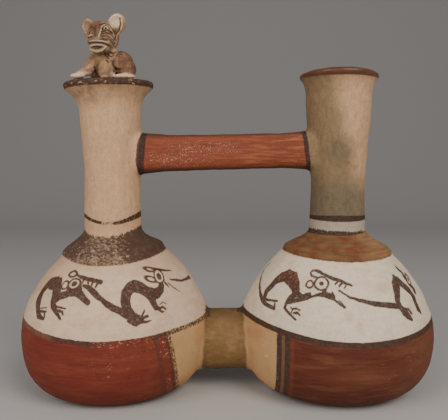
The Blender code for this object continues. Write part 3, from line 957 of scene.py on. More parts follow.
def whistle_belly(paint, shape, colours):
    """Buff clay by the tube, the red belly beyond two brown stripes, and the picture's lower line."""
    side = Side(paint, shape, shape.whistle_axis)
    clay, fine = buff_and_tube(paint, colours)
    red, strokes = red_ground(paint, colours.red_slip, colours.handle_slip, 41, 0.85)
    rosy = side.x.ramp(0, 26) * paint.noise(7, 3, seed=47).ramp(0.35, 0.6)
    red = paint.mix(rosy * 0.30, red, times(colours.handle_slip, 0.95))
    far_left = side.s.ramp(-0.55, -0.95) * 0.35
    red = paint.mix(far_left, red, times(colours.handle_slip, 1.1))
    scuffed = bell_mask(paint, (-55, -48, 26), (22, 30, 12))
    scuffed = scuffed.most(bell_mask(paint, (-38, -42, 34), (13, 30, 9)))
    red = paint.mix(specks(paint, 1.2, 44, 0.6) * scuffed * 0.45, red, colours.clay)
    white, _ = white_ground(paint, colours.cream_slip, colours.pale_clay, 31)
    brown = brown_lines(paint, colours)
    low = paint.z - 8
    first = 32.1 - low * low * 0.0034
    low = paint.z - 13.5
    second = 37.8 - low * low * 0.0049
    on_red = (side.x + side.ragged - second).ramp(0.5, -0.5) * paint.z.ramp(0.3, 1.4)
    shade = paint.mix(on_red, clay, red)
    chalky = (side.x - first).ramp(0.2, 1.0) * (side.x - second).ramp(1.6, 0.4)
    shade = paint.mix(chalky * specks(paint, 1.0, 45, 0.9) * 0.75, shade, colours.pale_clay)
    shade = paint.mix(stripe(side, first, 1.2) * (1 - worn(paint, 1.2, 52, 0.5, 0.12)) * 0.75, shade, brown)
    flaked = worn(paint, 0.9, 53, 0.52, 0.08)
    shade = paint.mix(stripe(side, second, 1.5) * (1 - flaked), shade, brown)
    edge = white_edge(side, WHISTLE_EQUATOR[0], -12.6 - paint.x)
    shade = paint.mix(edge.ramp(-0.3, 0.3), shade, white)
    s = side.s
    line = edge.ramp(0.35, -0.35) * (edge + 2.4 - side.ragged * 2.4).ramp(-0.4, 0.4)
    faded = s.ramp(-0.42, -0.56)
    rubbed = s.ramp(-0.12, 0.02) * s.ramp(0.62, 0.50)
    amount = 0.34 + faded * 0.10 + rubbed * 0.32 + s.ramp(0.55, 0.7) * 0.12
    line_shade = paint.mix(faded, brown, times(colours.smoked_clay, 1.1))
    chalk = rubbed * specks(paint, 1.1, 58, 0.95) * edge.ramp(0.6, -0.2) * (edge + 3.4).ramp(-0.6, 0.6)
    shade = paint.mix(chalk * 0.75, shade, times(colours.pale_clay, 0.9))
    flaked = worn(paint, 1.1, 54, amount, 0.1)
    shade = paint.mix(line * (1 - flaked) * (1 - faded * 0.35), shade, line_shade)
    return shade, 0.80, fine * 0.6 + strokes * on_red * 0.6


def open_belly(paint, shape, colours):
    """The same on the open side, with a darker red, straight stripes and a whole line."""
    side = Side(paint, shape, shape.open_axis)
    clay, fine = buff_and_tube(paint, colours)
    warm = tuple((red + orange) / 2 for red, orange in zip(colours.handle_slip, colours.orange_slip))
    red, strokes = red_ground(paint, colours.dark_red_slip, times(warm, 0.8), 46, 1.25)
    # Painted light: the red is lighter towards the outer side, with a broad painted sheen low on the front
    light = (side.s.ramp(0.3, 0.9) + bell_mask(paint, (70, -50, 22), (34, 40, 9)) * 0.5).least(1)
    red = paint.mix(light * 0.55, red, warm)
    scuffed = bell_mask(paint, (92, -40, 27), (24, 40, 14))
    red = paint.mix(specks(paint, 1.2, 49, 0.6) * scuffed * 0.45, red, colours.clay)
    white, _ = white_ground(paint, colours.white_slip, colours.cream_slip, 35)
    brown = brown_lines(paint, colours)
    on_red = (side.x + side.ragged * 0.5 + 36.3).ramp(-0.4, 0.4) * paint.z.ramp(0.3, 1.4)
    shade = paint.mix(on_red, clay, red)
    strip = stripe(side, -34.3, 1.0)
    shade = paint.mix(strip * 0.5, shade, times(colours.pale_clay, 0.35))
    shade = paint.mix(stripe(side, -30.0, 1.0) * 0.4, shade, times(colours.handle_slip, 0.9))
    for centre, half_width, seed in ((-36.3, 1.2, 55), (-32.3, 1.25, 56)):
        flaked = worn(paint, 1.1, seed, 0.25, 0.1)
        shade = paint.mix(stripe(side, centre, half_width) * (1 - flaked), shade, brown)
    edge = white_edge(side, OPEN_EQUATOR[0], paint.x - 9.4, rag=0.4)
    shade = paint.mix(edge.ramp(-0.3, 0.3), shade, white)
    line = edge.ramp(0.3, -0.3) * (edge + 3.0 - side.ragged * 0.8).ramp(-0.3, 0.3)
    chip = bell_mask(paint, (37.5, -45, 37), (1.8, 20, 1.6))
    shade = paint.mix(line * (1 - worn(paint, 1.1, 57, 0.2, 0.1)) * (1 - chip), shade, brown)
    return shade, 0.78, fine * 0.6 + strokes * on_red * 0.8


def ticks(side, seed):
    """Upright brush ticks, about 0: they lift and drop a painted edge."""
    paint = side.paint
    turned = paint.vector("MULTIPLY", side.around, [(15, 15, 0)])
    height = paint.point(0, 0, paint.z * 0.20)
    place = paint.vector("ADD", turned, [height])
    uneven = paint.noise(9, 2, seed=seed + 30).ramp(0.35, 0.65)
    bristles = paint.noise(1, 4, seed=seed, place=place, roughness=0.65) - 0.5
    return bristles * (uneven * 0.8 + 0.4)


def whistle_collar(paint, side, colours):
    """The dark collar of the whistle side, rubbed through to the clay in front."""
    s = side.s
    rubbed = 0.52 - s.ramp(0.20, 0.65) * 0.34 - s.ramp(-0.30, -0.8) * 0.22
    rubbed = rubbed + side.line(*WHISTLE_COLLAR[1]).ramp(6, 0) * s.ramp(0.75, 0.3) * 0.10
    bare = worn(paint, 1.5, 61, rubbed, 0.07)
    rosy = paint.noise(3, 3, seed=60).ramp(0.45, 0.65)
    under = paint.mix(rosy, times(colours.pale_clay, 0.42), times(colours.cream_slip, 0.58))
    under = paint.mix(specks(paint, 1.1, 62, 1.0) * 0.75, under, colours.cream_slip)
    under = paint.tint(under, grit(paint, 63) * 1.1 + 0.40)
    faded = paint.noise(4, 3, seed=59).ramp(0.45, 0.65) * 0.25
    dark = paint.mix(faded, colours.brown_paint, colours.smoked_clay)
    dark = paint.tint(dark, grit(paint, 64) * 1.6 + 0.35)
    return paint.mix(bare * 0.85, dark, under)


def open_collar(paint, side, colours):
    """The orange collar of the open side, brushed round, darker at its edges."""
    strokes = paint.noise(1.4, 4, stretch=(7, 7, 1), seed=65)
    clouds = paint.noise(7, 3, seed=66)
    shade = paint.mix(clouds.ramp(0.40, 0.66) * 0.7, colours.orange_slip, times(colours.dark_red_slip, 1.5))
    # Painted light: the collar turns lighter towards its outer side
    shade = paint.mix(side.s.ramp(0.2, 0.9) * 0.35, shade, colours.clay)
    shade = paint.tint(shade, strokes * 1.3 + grit(paint, 67) * 0.5 + 0.12)
    rim = side.line(*OPEN_COLLAR[1]).ramp(1.6, 0.2) * 0.35
    return paint.mix(rim, shade, times(colours.dark_red_slip, 0.8))


# The painted animals, as brush strokes: points are (degrees round the chamber, height), then half widths

JAWED_ANIMAL = [
    [
        (-37.7, 50.2, 0.80), (-42.9, 51.2, 1.7), (-47.1, 54.8, 2.0), (-50.7, 59.1, 2.9),
        (-51.6, 63.2, 2.6), (-49.0, 67.0, 3.1), (-41.7, 69.2, 2.1),
    ],
    [(-42.9, 53.5, 0.78), (-36.9, 54.1, 0.52)],
    [(-37.8, 53.2, 0.52), (-36.9, 51.3, 0.58)],
    [(-43.1, 55.1, 0.33), (-37.3, 56.1, 0.23)],
    [
        (-43.4, 66.9, 2.4), (-37.6, 67.7, 3.2), (-34.1, 63.9, 3.0), (-33.3, 60.0, 2.3),
        (-32.5, 57.6, 1.8), (-27.6, 54.0, 1.1), (-23.9, 51.3, 0.59),
    ],
    [(-29.6, 57.1, 0.60), (-21.9, 56.2, 0.33)],
    [(-26.9, 55.2, 0.79), (-23.6, 54.7, 0.66), (-22.4, 53.3, 0.39)],
    [
        (-32.4, 60.1, 1.9), (-29.3, 62.1, 2.0), (-21.7, 63.7, 1.7), (-15.0, 63.8, 2.1),
        (-10.8, 61.5, 1.7), (-7.1, 59.3, 1.4),
    ],
    [(-22.3, 64.7, 1.4), (-15.0, 65.4, 1.5), (-15.6, 68.0, 0.68)],
    [(-25.1, 65.6, 1.0), (-21.7, 63.8, 1.7)],
    [(-21.8, 72.2, 0.42), (-14.2, 70.7, 1.0), (-7.0, 69.7, 1.0), (0.5, 68.3, 1.0)],
    [(-14.4, 69.6, 0.62), (-14.2, 68.5, 0.45)],
    [(-10.1, 69.3, 0.60), (-9.5, 67.9, 0.50)],
    [(-6.0, 68.7, 0.63), (-6.6, 67.2, 0.55)],
    [(-1.9, 68.1, 0.75), (-3.1, 66.4, 0.59)],
]
RAISED_ANIMAL = [
    [
        (18.1, 49.4, 0.76), (22.3, 47.6, 1.4), (25.5, 49.3, 1.7), (20.3, 51.1, 2.4), (17.7, 55.1, 2.4),
        (17.1, 58.8, 2.7), (17.9, 62.0, 2.8), (20.7, 64.3, 2.8), (24.5, 65.1, 2.9), (28.9, 63.8, 2.9),
        (32.8, 61.3, 2.8), (34.9, 58.9, 2.6), (35.2, 56.1, 1.8), (36.3, 53.8, 1.5), (38.9, 52.7, 0.77),
    ],
    [(26.0, 50.5, 0.58), (28.4, 53.2, 0.41)],
    [(26.2, 49.7, 0.89), (29.7, 50.4, 0.76)],
    [(25.4, 48.1, 0.91), (29.1, 47.8, 0.52), (31.7, 48.2, 0.23)],
    [(39.6, 54.7, 0.29), (42.2, 55.5, 0.25), (44.1, 54.3, 0.20)],
    [(38.9, 52.9, 0.51), (41.3, 53.2, 0.57), (43.2, 52.0, 0.39)],
    [(38.3, 52.3, 0.57), (39.8, 51.0, 0.58), (41.5, 51.0, 0.32)],
    [(33.9, 61.4, 2.2), (38.7, 59.9, 2.5), (43.0, 61.1, 1.9), (45.5, 63.2, 1.6)],
    [(38.2, 72.8, 0.32), (46.1, 71.2, 0.56), (51.3, 70.0, 0.67), (61.7, 68.4, 0.24)],
    [(49.1, 63.9, 0.65), (51.2, 61.7, 0.36)],
    [(51.8, 63.5, 0.29), (56.1, 60.1, 0.29), (59.9, 58.0, 0.18)],
    [(55.4, 64.8, 0.30), (62.4, 63.4, 0.66), (68.4, 62.4, 0.55), (78.9, 62.2, 0.63), (83.8, 62.2, 1.0)],
]
LEFT_TAIL = [
    [
        (-13.2, 67.3, 0.53), (-8.8, 66.2, 1.2), (-4.3, 64.1, 1.5), (-0.6, 61.6, 1.4), (1.7, 60.5, 1.1),
        (4.8, 58.4, 1.4), (8.6, 56.3, 1.7), (13.4, 54.4, 1.7), (17.4, 52.3, 2.2),
    ],
]
RIGHT_ANIMAL = [
    [
        (-86.4, 71.5, 0.60), (-88.9, 66.7, 0.60), (-78.4, 62.2, 0.60), (-68.3, 56.9, 0.91),
        (-62.3, 53.6, 1.2), (-56.9, 52.0, 1.1), (-49.8, 51.3, 0.94), (-50.2, 54.1, 0.44),
    ],
    [(-61.8, 54.4, 0.89), (-55.5, 54.7, 0.60), (-49.1, 55.4, 0.60)],
    [
        (-61.4, 55.9, 1.5), (-61.5, 58.7, 2.0), (-59.4, 61.9, 2.0), (-57.6, 65.0, 2.3),
        (-54.7, 66.9, 2.9), (-50.0, 68.5, 3.1), (-43.7, 67.4, 3.6), (-39.6, 64.8, 3.0),
        (-37.1, 61.8, 2.3),
    ],
    [
        (-37.2, 60.6, 1.7), (-39.9, 58.3, 1.4), (-41.5, 55.5, 1.0), (-42.1, 52.9, 0.76),
        (-38.7, 51.1, 0.70), (-33.3, 48.3, 0.55),
    ],
    [(-37.8, 53.8, 0.31), (-36.3, 52.8, 0.35), (-36.9, 51.1, 0.36)],
    [(-36.9, 53.3, 0.40), (-33.9, 53.7, 0.59), (-31.3, 53.4, 0.33)],
    [(-35.4, 51.3, 0.40), (-32.9, 51.8, 0.72), (-30.9, 50.7, 0.37)],
    [
        (-40.4, 56.4, 1.5), (-35.7, 57.6, 1.2), (-28.2, 59.7, 1.1), (-24.5, 60.9, 0.58),
        (-20.8, 62.0, 0.90), (-16.9, 62.3, 1.4), (-12.4, 61.5, 1.6), (-10.6, 60.0, 0.60),
        (-7.6, 58.3, 0.55), (-4.9, 57.3, 0.74),
    ],
    [(-36.2, 60.7, 1.7), (-31.7, 60.1, 1.0), (-27.3, 61.4, 1.1)],
    [(-16.9, 65.2, 0.80), (-18.3, 62.9, 1.1)],
    [(-8.1, 59.9, 0.30), (-5.8, 58.2, 0.36)],
    [(-12.5, 63.5, 0.47), (-11.8, 62.0, 0.69)],
    [
        (-30.5, 71.5, 0.56), (-29.6, 72.7, 0.60), (-26.8, 73.0, 0.58), (-22.4, 72.2, 0.72),
        (-16.6, 70.8, 0.77), (-12.1, 69.8, 0.89), (-9.2, 69.5, 0.76), (-5.9, 68.9, 0.82),
        (-2.9, 67.9, 0.63), (0.8, 67.2, 0.44),
    ],
    [(-30.5, 71.5, 0.65), (-28.8, 70.0, 0.53), (-24.4, 69.7, 0.45)],
    [(-10.7, 67.5, 0.44), (-8.5, 68.7, 0.51)],
    [(-7.9, 66.6, 0.50), (-6.1, 68.0, 0.57)],
    [(-4.3, 66.0, 0.37), (-2.5, 67.7, 0.45)],
]
RIGHT_WALKER = [
    [
        (-8.0, 64.5, 0.56), (-5.4, 63.5, 0.43), (-1.1, 61.8, 0.56), (3.1, 60.8, 0.75), (8.1, 60.1, 1.0),
        (14.4, 59.0, 1.2), (22.5, 58.2, 1.4), (30.8, 57.5, 1.4),
    ],
    [
        (40.6, 69.8, 1.9), (36.5, 66.6, 2.8), (34.0, 63.8, 2.1), (31.8, 60.2, 1.7), (32.0, 57.3, 1.6),
        (34.2, 54.5, 2.1), (36.4, 52.7, 2.0), (38.9, 50.7, 1.0),
    ],
    [(34.6, 55.7, 1.0), (38.6, 55.4, 0.68), (40.2, 53.3, 0.72)],
    [
        (40.6, 69.8, 1.3), (43.0, 68.0, 2.7), (45.6, 65.8, 2.3), (48.6, 63.4, 2.3), (49.9, 60.7, 2.1),
        (49.0, 57.9, 1.9), (49.4, 55.0, 2.0), (51.4, 52.8, 1.0),
    ],
    [
        (53.7, 73.9, 1.2), (56.3, 71.5, 1.2), (54.6, 69.0, 1.6), (54.2, 66.1, 1.3), (57.2, 63.9, 1.6),
        (55.9, 62.2, 1.4),
    ],
]
# Ears and eyes as ovals: degrees, height, half width, half height, lean in degrees
WHISTLE_EARS = [
    (-26.3, 72.6, 3.2, 1.4, 0), (-29.1, 67.4, 2.4, 1.9, 0), (40.6, 71.3, 3.5, 1.0, -14),
    (38.5, 66.9, 3.4, 1.3, -16),
]
WHISTLE_EYES = [(-21.1, 68.0, 4.2, 2.5, 0, 0.48), (46.3, 67.4, 3.9, 3.1, 26, 0.50)]
OPEN_EARS = [(-28.6, 66.2, 2.2, 1.7, 0)]
OPEN_EYES = [(-20.5, 67.2, 4.1, 3.0, 0, 0.32), (58.5, 68.0, 4.0, 1.8, 30, 0.4)]


class Strokes:
    """Distances to brush strokes, in millimetres, below 0 inside them."""

    def __init__(self, paint, place):
        self.paint = paint
        self.place = place
        self.field = None

    def join(self, distance):
        self.field = distance if self.field is None else self.field.least(distance)

    def stroke(self, points):
        """A stroke through points, each a place and the stroke's half width there."""
        for (*first, first_width), (*last, last_width) in zip(points, points[1:]):
            start = Vector(first)
            span = Vector(last) - start
            unit = span / span.length_squared
            offset = self.paint.vector("SUBTRACT", self.place, [tuple(start)])
            along = self.paint.vector("DOT_PRODUCT", offset, [tuple(unit)], output="Value")
            share = self.paint.add("Clamp", {}, [along])
            nearest = self.paint.vector("SCALE", tuple(span), {"Scale": share})
            distance = self.paint.vector("DISTANCE", offset, [nearest], output="Value")
            wide = share.math("MULTIPLY_ADD", first_width - last_width, distance)
            self.join(wide - first_width)


class Picture(Strokes):
    """Strokes laid out on a chamber: across in degrees round it, up in millimetres.

    The picture is painted twice round the chamber, from first to last degrees and on again. slope and gain
    tilt it with the chamber: its rise for each millimetre across, and how much that grows with height.
    """

    turn = 0.84
    first, last = -93, 87

    def __init__(self, paint, side, slope, gain):
        angle = side.x.math("ARCTAN2", -paint.y) * (180 / math.pi)
        folded = paint.add("Math", {"operation": "WRAP"}, [angle, self.last, self.first])
        height = paint.z - side.x * ((paint.z - 50) * gain + slope)
        warp = paint.noise(3.5, 2, seed=71) - 0.5, paint.noise(3.1, 2, seed=72) - 0.5
        place = paint.point(folded * self.turn + warp[0] * 0.8, height + warp[1] * 0.8, 0)
        super().__init__(paint, place)

    def draw(self, points):
        self.stroke([(u * self.turn, v, 0, wide) for u, v, wide in points])

    def oval(self, u, v, wide, tall, lean=0):
        """Distance from an oval's edge, in about millimetres."""
        cos, sin = math.cos(math.radians(lean)), math.sin(math.radians(lean))
        offset = self.paint.vector("SUBTRACT", self.place, [(u * self.turn, v, 0)])
        across = self.paint.vector("DOT_PRODUCT", offset, [(cos / wide, sin / wide, 0)], output="Value")
        up = self.paint.vector("DOT_PRODUCT", offset, [(-sin / tall, cos / tall, 0)], output="Value")
        return ((across * across + up * up).math("SQRT") - 1) * min(wide, tall)

    def loop(self, u, v, wide, tall, lean, thick=0.42):
        """A ring of paint with a clear middle."""
        edge = self.oval(u, v, wide, tall, lean)
        self.field = self.field.most(-edge)
        self.join(abs(edge) - thick)

    def eye(self, u, v, wide, tall, lean, pupil):
        self.loop(u, v, wide, tall, lean)
        self.join(self.oval(u, v, wide * pupil, tall * pupil, lean))

    def fill(self, strokes, ears, eyes):
        for points in strokes:
            self.draw(points)
        for ear_loop in ears:
            self.loop(*ear_loop)
        for eye in eyes:
            self.eye(*eye)


def picture_band(paint, colours, side, picture, ground, collar_foot, collar, reddened):
    """White ground, the painted animals, and the foot of the collar above."""
    shade, fine = ground
    thin = paint.noise(0.9, 3, seed=73)
    pools = paint.noise(2.6, 4, seed=51, roughness=0.6)
    dark, pale = times(colours.brown_paint, 0.85), times(colours.brown_paint, 1.20)
    brown = paint.mix(pools.ramp(0.36, 0.64), dark, pale)
    streaks = paint.noise(0.9, 3, stretch=(1, 1, 3), seed=74).ramp(0.40, 0.60)
    brown = paint.mix(reddened * (streaks * 0.7 + 0.2), brown, times(colours.red_slip, 0.8))
    inked = (picture.field + (thin - 0.5) * 0.5 - 0.05).ramp(0.32, -0.28)
    flaked = worn(paint, 1.3, 75, 0.34, 0.14) * 0.22
    shade = paint.mix(inked * (1 - flaked), shade, brown)
    edge = side.line(*collar_foot) + side.ragged * 0.8 + side.wavy * 0.35
    return paint.mix(edge.ramp(-0.35, 0.35), shade, collar), 0.84, fine * 0.6


def whistle_picture(paint, shape, colours):
    """The cream band of the whistle side, with two long-tailed animals."""
    side = Side(paint, shape, shape.whistle_axis)
    ground, fine = white_ground(paint, colours.cream_slip, colours.pale_clay, 31)
    # Painted shade: the ground turns darker and pinker towards the outer side and up the band
    shade_on_left = side.s.ramp(-0.3, -0.95) * paint.z.ramp(50, 70)
    ground = paint.mix(shade_on_left * 0.5, ground, times(colours.pale_clay, 0.85))
    ground = paint.mix(paint.z.ramp(68, 78) * 0.35, ground, times(colours.clay, 0.95))
    picture = Picture(paint, side, slope=0.039, gain=0.00165)
    picture.fill(JAWED_ANIMAL + RAISED_ANIMAL + LEFT_TAIL, WHISTLE_EARS, WHISTLE_EYES)
    collar = whistle_collar(paint, side, colours)
    return picture_band(paint, colours, side, picture, (ground, fine), WHISTLE_COLLAR[1], collar, 0.12)


def open_picture(paint, shape, colours):
    """The white band of the open side, with two more."""
    side = Side(paint, shape, shape.open_axis)
    ground, fine = white_ground(paint, colours.white_slip, colours.cream_slip, 35)
    stains = ((61, -48, 53), (3.6, 20, 4)), ((66, -46, 48), (3, 20, 4)), ((80, -44, 66), (5, 20, 4))
    for middle, reach in stains:
        ground = paint.mix(bell_mask(paint, middle, reach) * 0.35, ground, colours.clay)
    picture = Picture(paint, side, slope=-0.0475, gain=0.0005)
    picture.fill(RIGHT_ANIMAL + RIGHT_WALKER, OPEN_EARS, OPEN_EYES)
    collar = open_collar(paint, side, colours)
    red_back = bell_mask(paint, (36, -24, 68), (11, 20, 9))
    return picture_band(paint, colours, side, picture, (ground, fine), OPEN_COLLAR[1], collar, red_back)


def whistle_upper(paint, shape, colours):
    """The dark collar, the band round the neck's foot, the neck and the lid."""
    side = Side(paint, shape, shape.whistle_axis, WHISTLE_NECK_LEAN)
    clay, fine = neck_clay(paint, colours.pale_clay, times(colours.pale_clay, 0.86), 21)
    brown = brown_lines(paint, colours, 0.8)
    under_lid = paint.z.ramp(157, 168) * (side.s.ramp(0.5, -0.4) * 0.6 + 0.3)
    blotch = paint.noise(4, 4, seed=81).ramp(0.36, 0.62)
    shade = paint.mix(under_lid * blotch, clay, times(colours.pale_clay, 0.55))
    top = side.line(*WHISTLE_COLLAR[0]) + ticks(side, 68) * 7 + side.ragged * 0.5
    shade = paint.mix(top.ramp(0.6, -0.3), shade, whistle_collar(paint, side, colours))
    s = side.s
    amount = 0.30 + s.ramp(-0.30, -0.15) * s.ramp(0.25, 0.1) * 0.32
    band = between(side, *WHISTLE_BAND, rag=0.8) * (1 - worn(paint, 1.1, 82, amount, 0.1))
    shade = paint.mix(band, shade, brown)
    lid_line = shape.neck_top / MM + side.x * WHISTLE_LID_TILT + side.ragged * 0.5
    edge = (paint.z - lid_line).ramp(-0.7, 0.1)
    dark = paint.tint(brown, grit(paint, 87) * 1.2 + 0.75)
    dark = paint.mix(specks(paint, 2.0, 83, 0.8) * 0.75, dark, colours.pale_clay)
    shade = paint.mix(edge, shade, dark)
    return shade, 0.84, fine * 0.7


def open_upper(paint, shape, colours):
    """The orange collar, the pale and dark bands, the neck and the rolled lip."""
    side = Side(paint, shape, shape.open_axis)
    cloudy = (paint.noise(12, 3, seed=80) - 0.5) * 0.9
    # Painted light: the neck is paler towards its outer side and higher up, and olive towards its inner side
    warm = (side.s + cloudy + (paint.z - 140) * 0.012).ramp(-0.25, 0.60)
    base = paint.mix(warm, colours.olive_clay, times(colours.pale_clay, 0.92))
    # Painted shade: greyer low on the neck and in a patch in front at the handle's height, except up its
    # outer side
    neck_shade = (paint.z - cloudy * 14).ramp(134, 108).most(bell_mask(paint, (62, -16, 137), (11, 30, 13)) * 0.75)
    neck_shade = neck_shade * (1 - (side.s + cloudy * 0.3).ramp(0.35, 0.85) * paint.z.ramp(112, 130))
    base = paint.mix(neck_shade * 0.80, base, colours.smoked_clay)
    clay, fine = neck_clay(paint, colours.clay, times(colours.clay, 0.8), 24)
    # the wiped texture's light and dark, laid over the neck's colours with their painted light and shade
    tone = paint.add("RGBToBW", {}, [clay]) * (1 / NECK_TONE)
    shade = paint.tint(base, tone)
    pale, _ = white_ground(paint, times(colours.white_slip, 0.56), times(colours.cream_slip, 0.48), 35)
    shade = paint.mix((side.line(*OPEN_BAND[1]) + side.ragged * 0.3).ramp(0.3, -0.3), shade, pale)
    brown = brown_lines(paint, colours, 0.8)
    band = between(side, *OPEN_BAND, rag=0.4) * (1 - worn(paint, 1.1, 85, 0.15, 0.1))
    shade = paint.mix(band, shade, brown)
    collar_top = side.line(*OPEN_COLLAR[0]) + side.ragged * 0.6
    shade = paint.mix(collar_top.ramp(0.3, -0.3), shade, open_collar(paint, side, colours))
    thin_top = side.line(*OPEN_THIN_LINE[0]) + side.ragged * 0.7 + ticks(side, 69) * 5.0
    thin = thin_top.ramp(0.3, -0.3) * side.above(*OPEN_THIN_LINE[1], rag=0.5)
    fading = 0.25 + side.s.ramp(0.6, 0.95) * 0.3
    shade = paint.mix(thin * (1 - worn(paint, 1.0, 86, fading, 0.1)), shade, brown)
    lip = (paint.z - (shape.mouth_top / MM - 4.4) + side.ragged * 0.4).ramp(-0.4, 0.4)
    inner = (side.radius - 18.0).ramp(0.4, -0.4)
    gloss = lip * (1 - inner)
    lip_tone = paint.noise(2.0, 4, stretch=(3, 3, 1), seed=88) * 1.0 + 0.5
    shade = paint.mix(gloss, shade, paint.tint(colours.gloss_slip, lip_tone))
    return shade, 0.82 - gloss * 0.50, fine * 0.7 * (1 - gloss * 0.8)


def handle_paint(paint, shape, colours):
    """Red slip with rubbed specks, and a dark band slanting round each end."""
    side = Side(paint, shape, shape.whistle_axis, WHISTLE_NECK_LEAN)
    clay, _ = neck_clay(paint, colours.pale_clay, times(colours.pale_clay, 0.86), 21)
    olive, _ = neck_clay(paint, colours.olive_clay, times(colours.olive_clay, 0.8), 24)
    clay = paint.mix(paint.x.ramp(-1, 1), clay, olive)
    strokes = paint.noise(1.2, 5, stretch=(10, 1, 1), seed=91, roughness=0.6)
    grain = grit(paint, 92)
    lighter = paint.x.ramp(-10, 40)
    buff = strokes.ramp(0.46, 0.66) * (lighter * 0.5 + 0.08)
    red = paint.mix(buff, colours.handle_slip, times(colours.fired_clay, 0.85))
    red = paint.tint(red, strokes * 1.0 + grain * 0.5 + 0.25)
    lower_left = bell_mask(paint, (-28, -9, 132), (28, 20, 6))
    upper = bell_mask(paint, (-12, -9, 138), (28, 20, 6))
    rubbed = specks(paint, 0.8, 93, 1.0) * (lower_left.most(upper) * 0.9 + 0.08)
    red = paint.mix(rubbed * 0.8, red, times(colours.cream_slip, 0.85))
    rise = paint.z - shape.handle_level / MM - paint.x * 0.02
    # Painted shade: the bar is darker along its edges, a shadow line along the bottom and a dark line along
    # the top
    dark_top_and_bottom = abs(rise).ramp(7.8, 10.0) * 0.75
    red = paint.mix(dark_top_and_bottom, red, times(colours.brown_paint, 0.8))
    ragged = side.ragged
    rounded = (abs(rise) - 5).most(0) * 0.42
    left, right = paint.x + 50.8 + rise * -0.09, paint.x - 45.5 + rise * 0.13
    on_handle = (left - rounded * 0.6 + ragged).ramp(-0.4, 0.4) * (right + ragged * 0.6).ramp(0.4, -0.4)
    on_handle = on_handle * abs(rise + ragged * 0.4).ramp(12.3, 11.7)
    sliver = (left - 2.4).ramp(0.8, -0.6) * 0.7
    red = paint.mix(sliver, red, times(colours.brown_paint, 0.95))
    shade = paint.mix(on_handle, clay, red)
    brown = brown_lines(paint, colours, 0.7)
    for line, half_width in ((left - 3.0, 1.7), (right + 1.0, 1.6)):
        band = (abs(line) + ragged * 0.5 - half_width).ramp(0.3, -0.3)
        flaked = worn(paint, 1.1, 94, 0.26, 0.1)
        dotted = specks(paint, 1.7, 95, 0.4) * 0.8
        shade = paint.mix(band * on_handle * (1 - flaked) * (1 - dotted), shade, brown)
    return shade, 0.76, strokes + grain


def inner_paint(paint, shape, colours):
    """The unseen inside: plain clay, a fifth darker."""
    clay, fine = bare_clay(paint, colours)
    return paint.tint(clay, 0.8), 0.9, fine


def zone_of(shape, place, inside):
    """Which paint a face of the wall wears, from its place."""
    if inside:
        return "inner_clay"
    x, z = place.x, place.z
    low, high = shape.whistle_axis, shape.open_axis
    near_level = abs(z - shape.handle_level) < HANDLE_ZONE
    if near_level and low + HANDLE_FROM_WHISTLE < x < high - HANDLE_FROM_OPEN:
        return "handle"
    half = "whistle" if x < HALFWAY else "open"
    axis = low if half == "whistle" else high
    s = (x - axis) / max(math.hypot(x - axis, place.y), MM)
    if z < BELLY_TOP + BELLY_BOW * s * s:
        return half + "_belly"
    return half + ("_picture" if z < PICTURE_TOP else "_upper")


ZONES = {
    "whistle_belly": whistle_belly,
    "open_belly": open_belly,
    "whistle_picture": whistle_picture,
    "open_picture": open_picture,
    "whistle_upper": whistle_upper,
    "open_upper": open_upper,
    "handle": handle_paint,
    "inner_clay": inner_paint,
}


def paint_wall(wall, shape, colours):
    names = list(ZONES)
    wall.data.materials.clear()
    for name, zone in ZONES.items():
        paint = Paint(name)
        shade, roughness, height = zone(paint, shape, colours)
        wall.data.materials.append(paint.finish(shade, roughness, height))
    for face in wall.data.polygons:
        face.material_index = names.index(zone_of(shape, face.center, is_inside(face, shape)))


def is_inside(face, shape):
    """Whether a face belongs to the hollows."""
    place, normal = face.center, face.normal
    axis = shape.whistle_axis if place.x < HALFWAY else shape.open_axis
    out = Vector((place.x - axis, place.y, place.z - shape.sizes.equator_level * 1.2))
    radius = math.hypot(place.x - axis, place.y)
    if place.z > shape.collar_top:
        return place.z <= shape.mouth_top - MOUTH_DISH and radius < NECK_INSIDE
    if abs(place.x - HALFWAY) < BORE_REACH and place.z < BORE_TOP:
        return math.hypot(place.y, place.z - TUBE_LEVEL) < shape.sizes.tube_radius - 0.003
    return out.dot(normal) < 0 and radius < shape.sizes.whistle_chamber_radius - 0.002


# The animal on the lid. Places and sizes are shares of its height, from the middle of the lid.
# A ball is its middle, its half sizes, and its turn in degrees about X, Y and Z.

HEAD = Vector((-0.012, -0.33, 0.595))
HEAD_TURN = -10
FIGURE_SINK = 0.0010

# The face's middle as a share of the animal's height, the directions in which its lines are drawn, and how
# deep and wide the drawing reaches, in hundredths of the height
FACE = Vector((0.069, -0.533, 0.696))
FACE_RIGHT = Vector((0.984, 0.179, 0.0))
FACE_UP = Vector((0.036, -0.197, 0.980))
FACE_BACK = Vector((-0.175, 0.964, 0.200))
FACE_DEPTH = 27
FACE_REACH = 60

# The attribute that marks hollows for painted shade and ridges for painted highlights, and the values between
# which each comes in
SHADE_ATTRIBUTE = "wear"
HOLLOW_SHADE = (0.014, 0.002)
RIDGE_HIGHLIGHT = (0.05, 0.10)

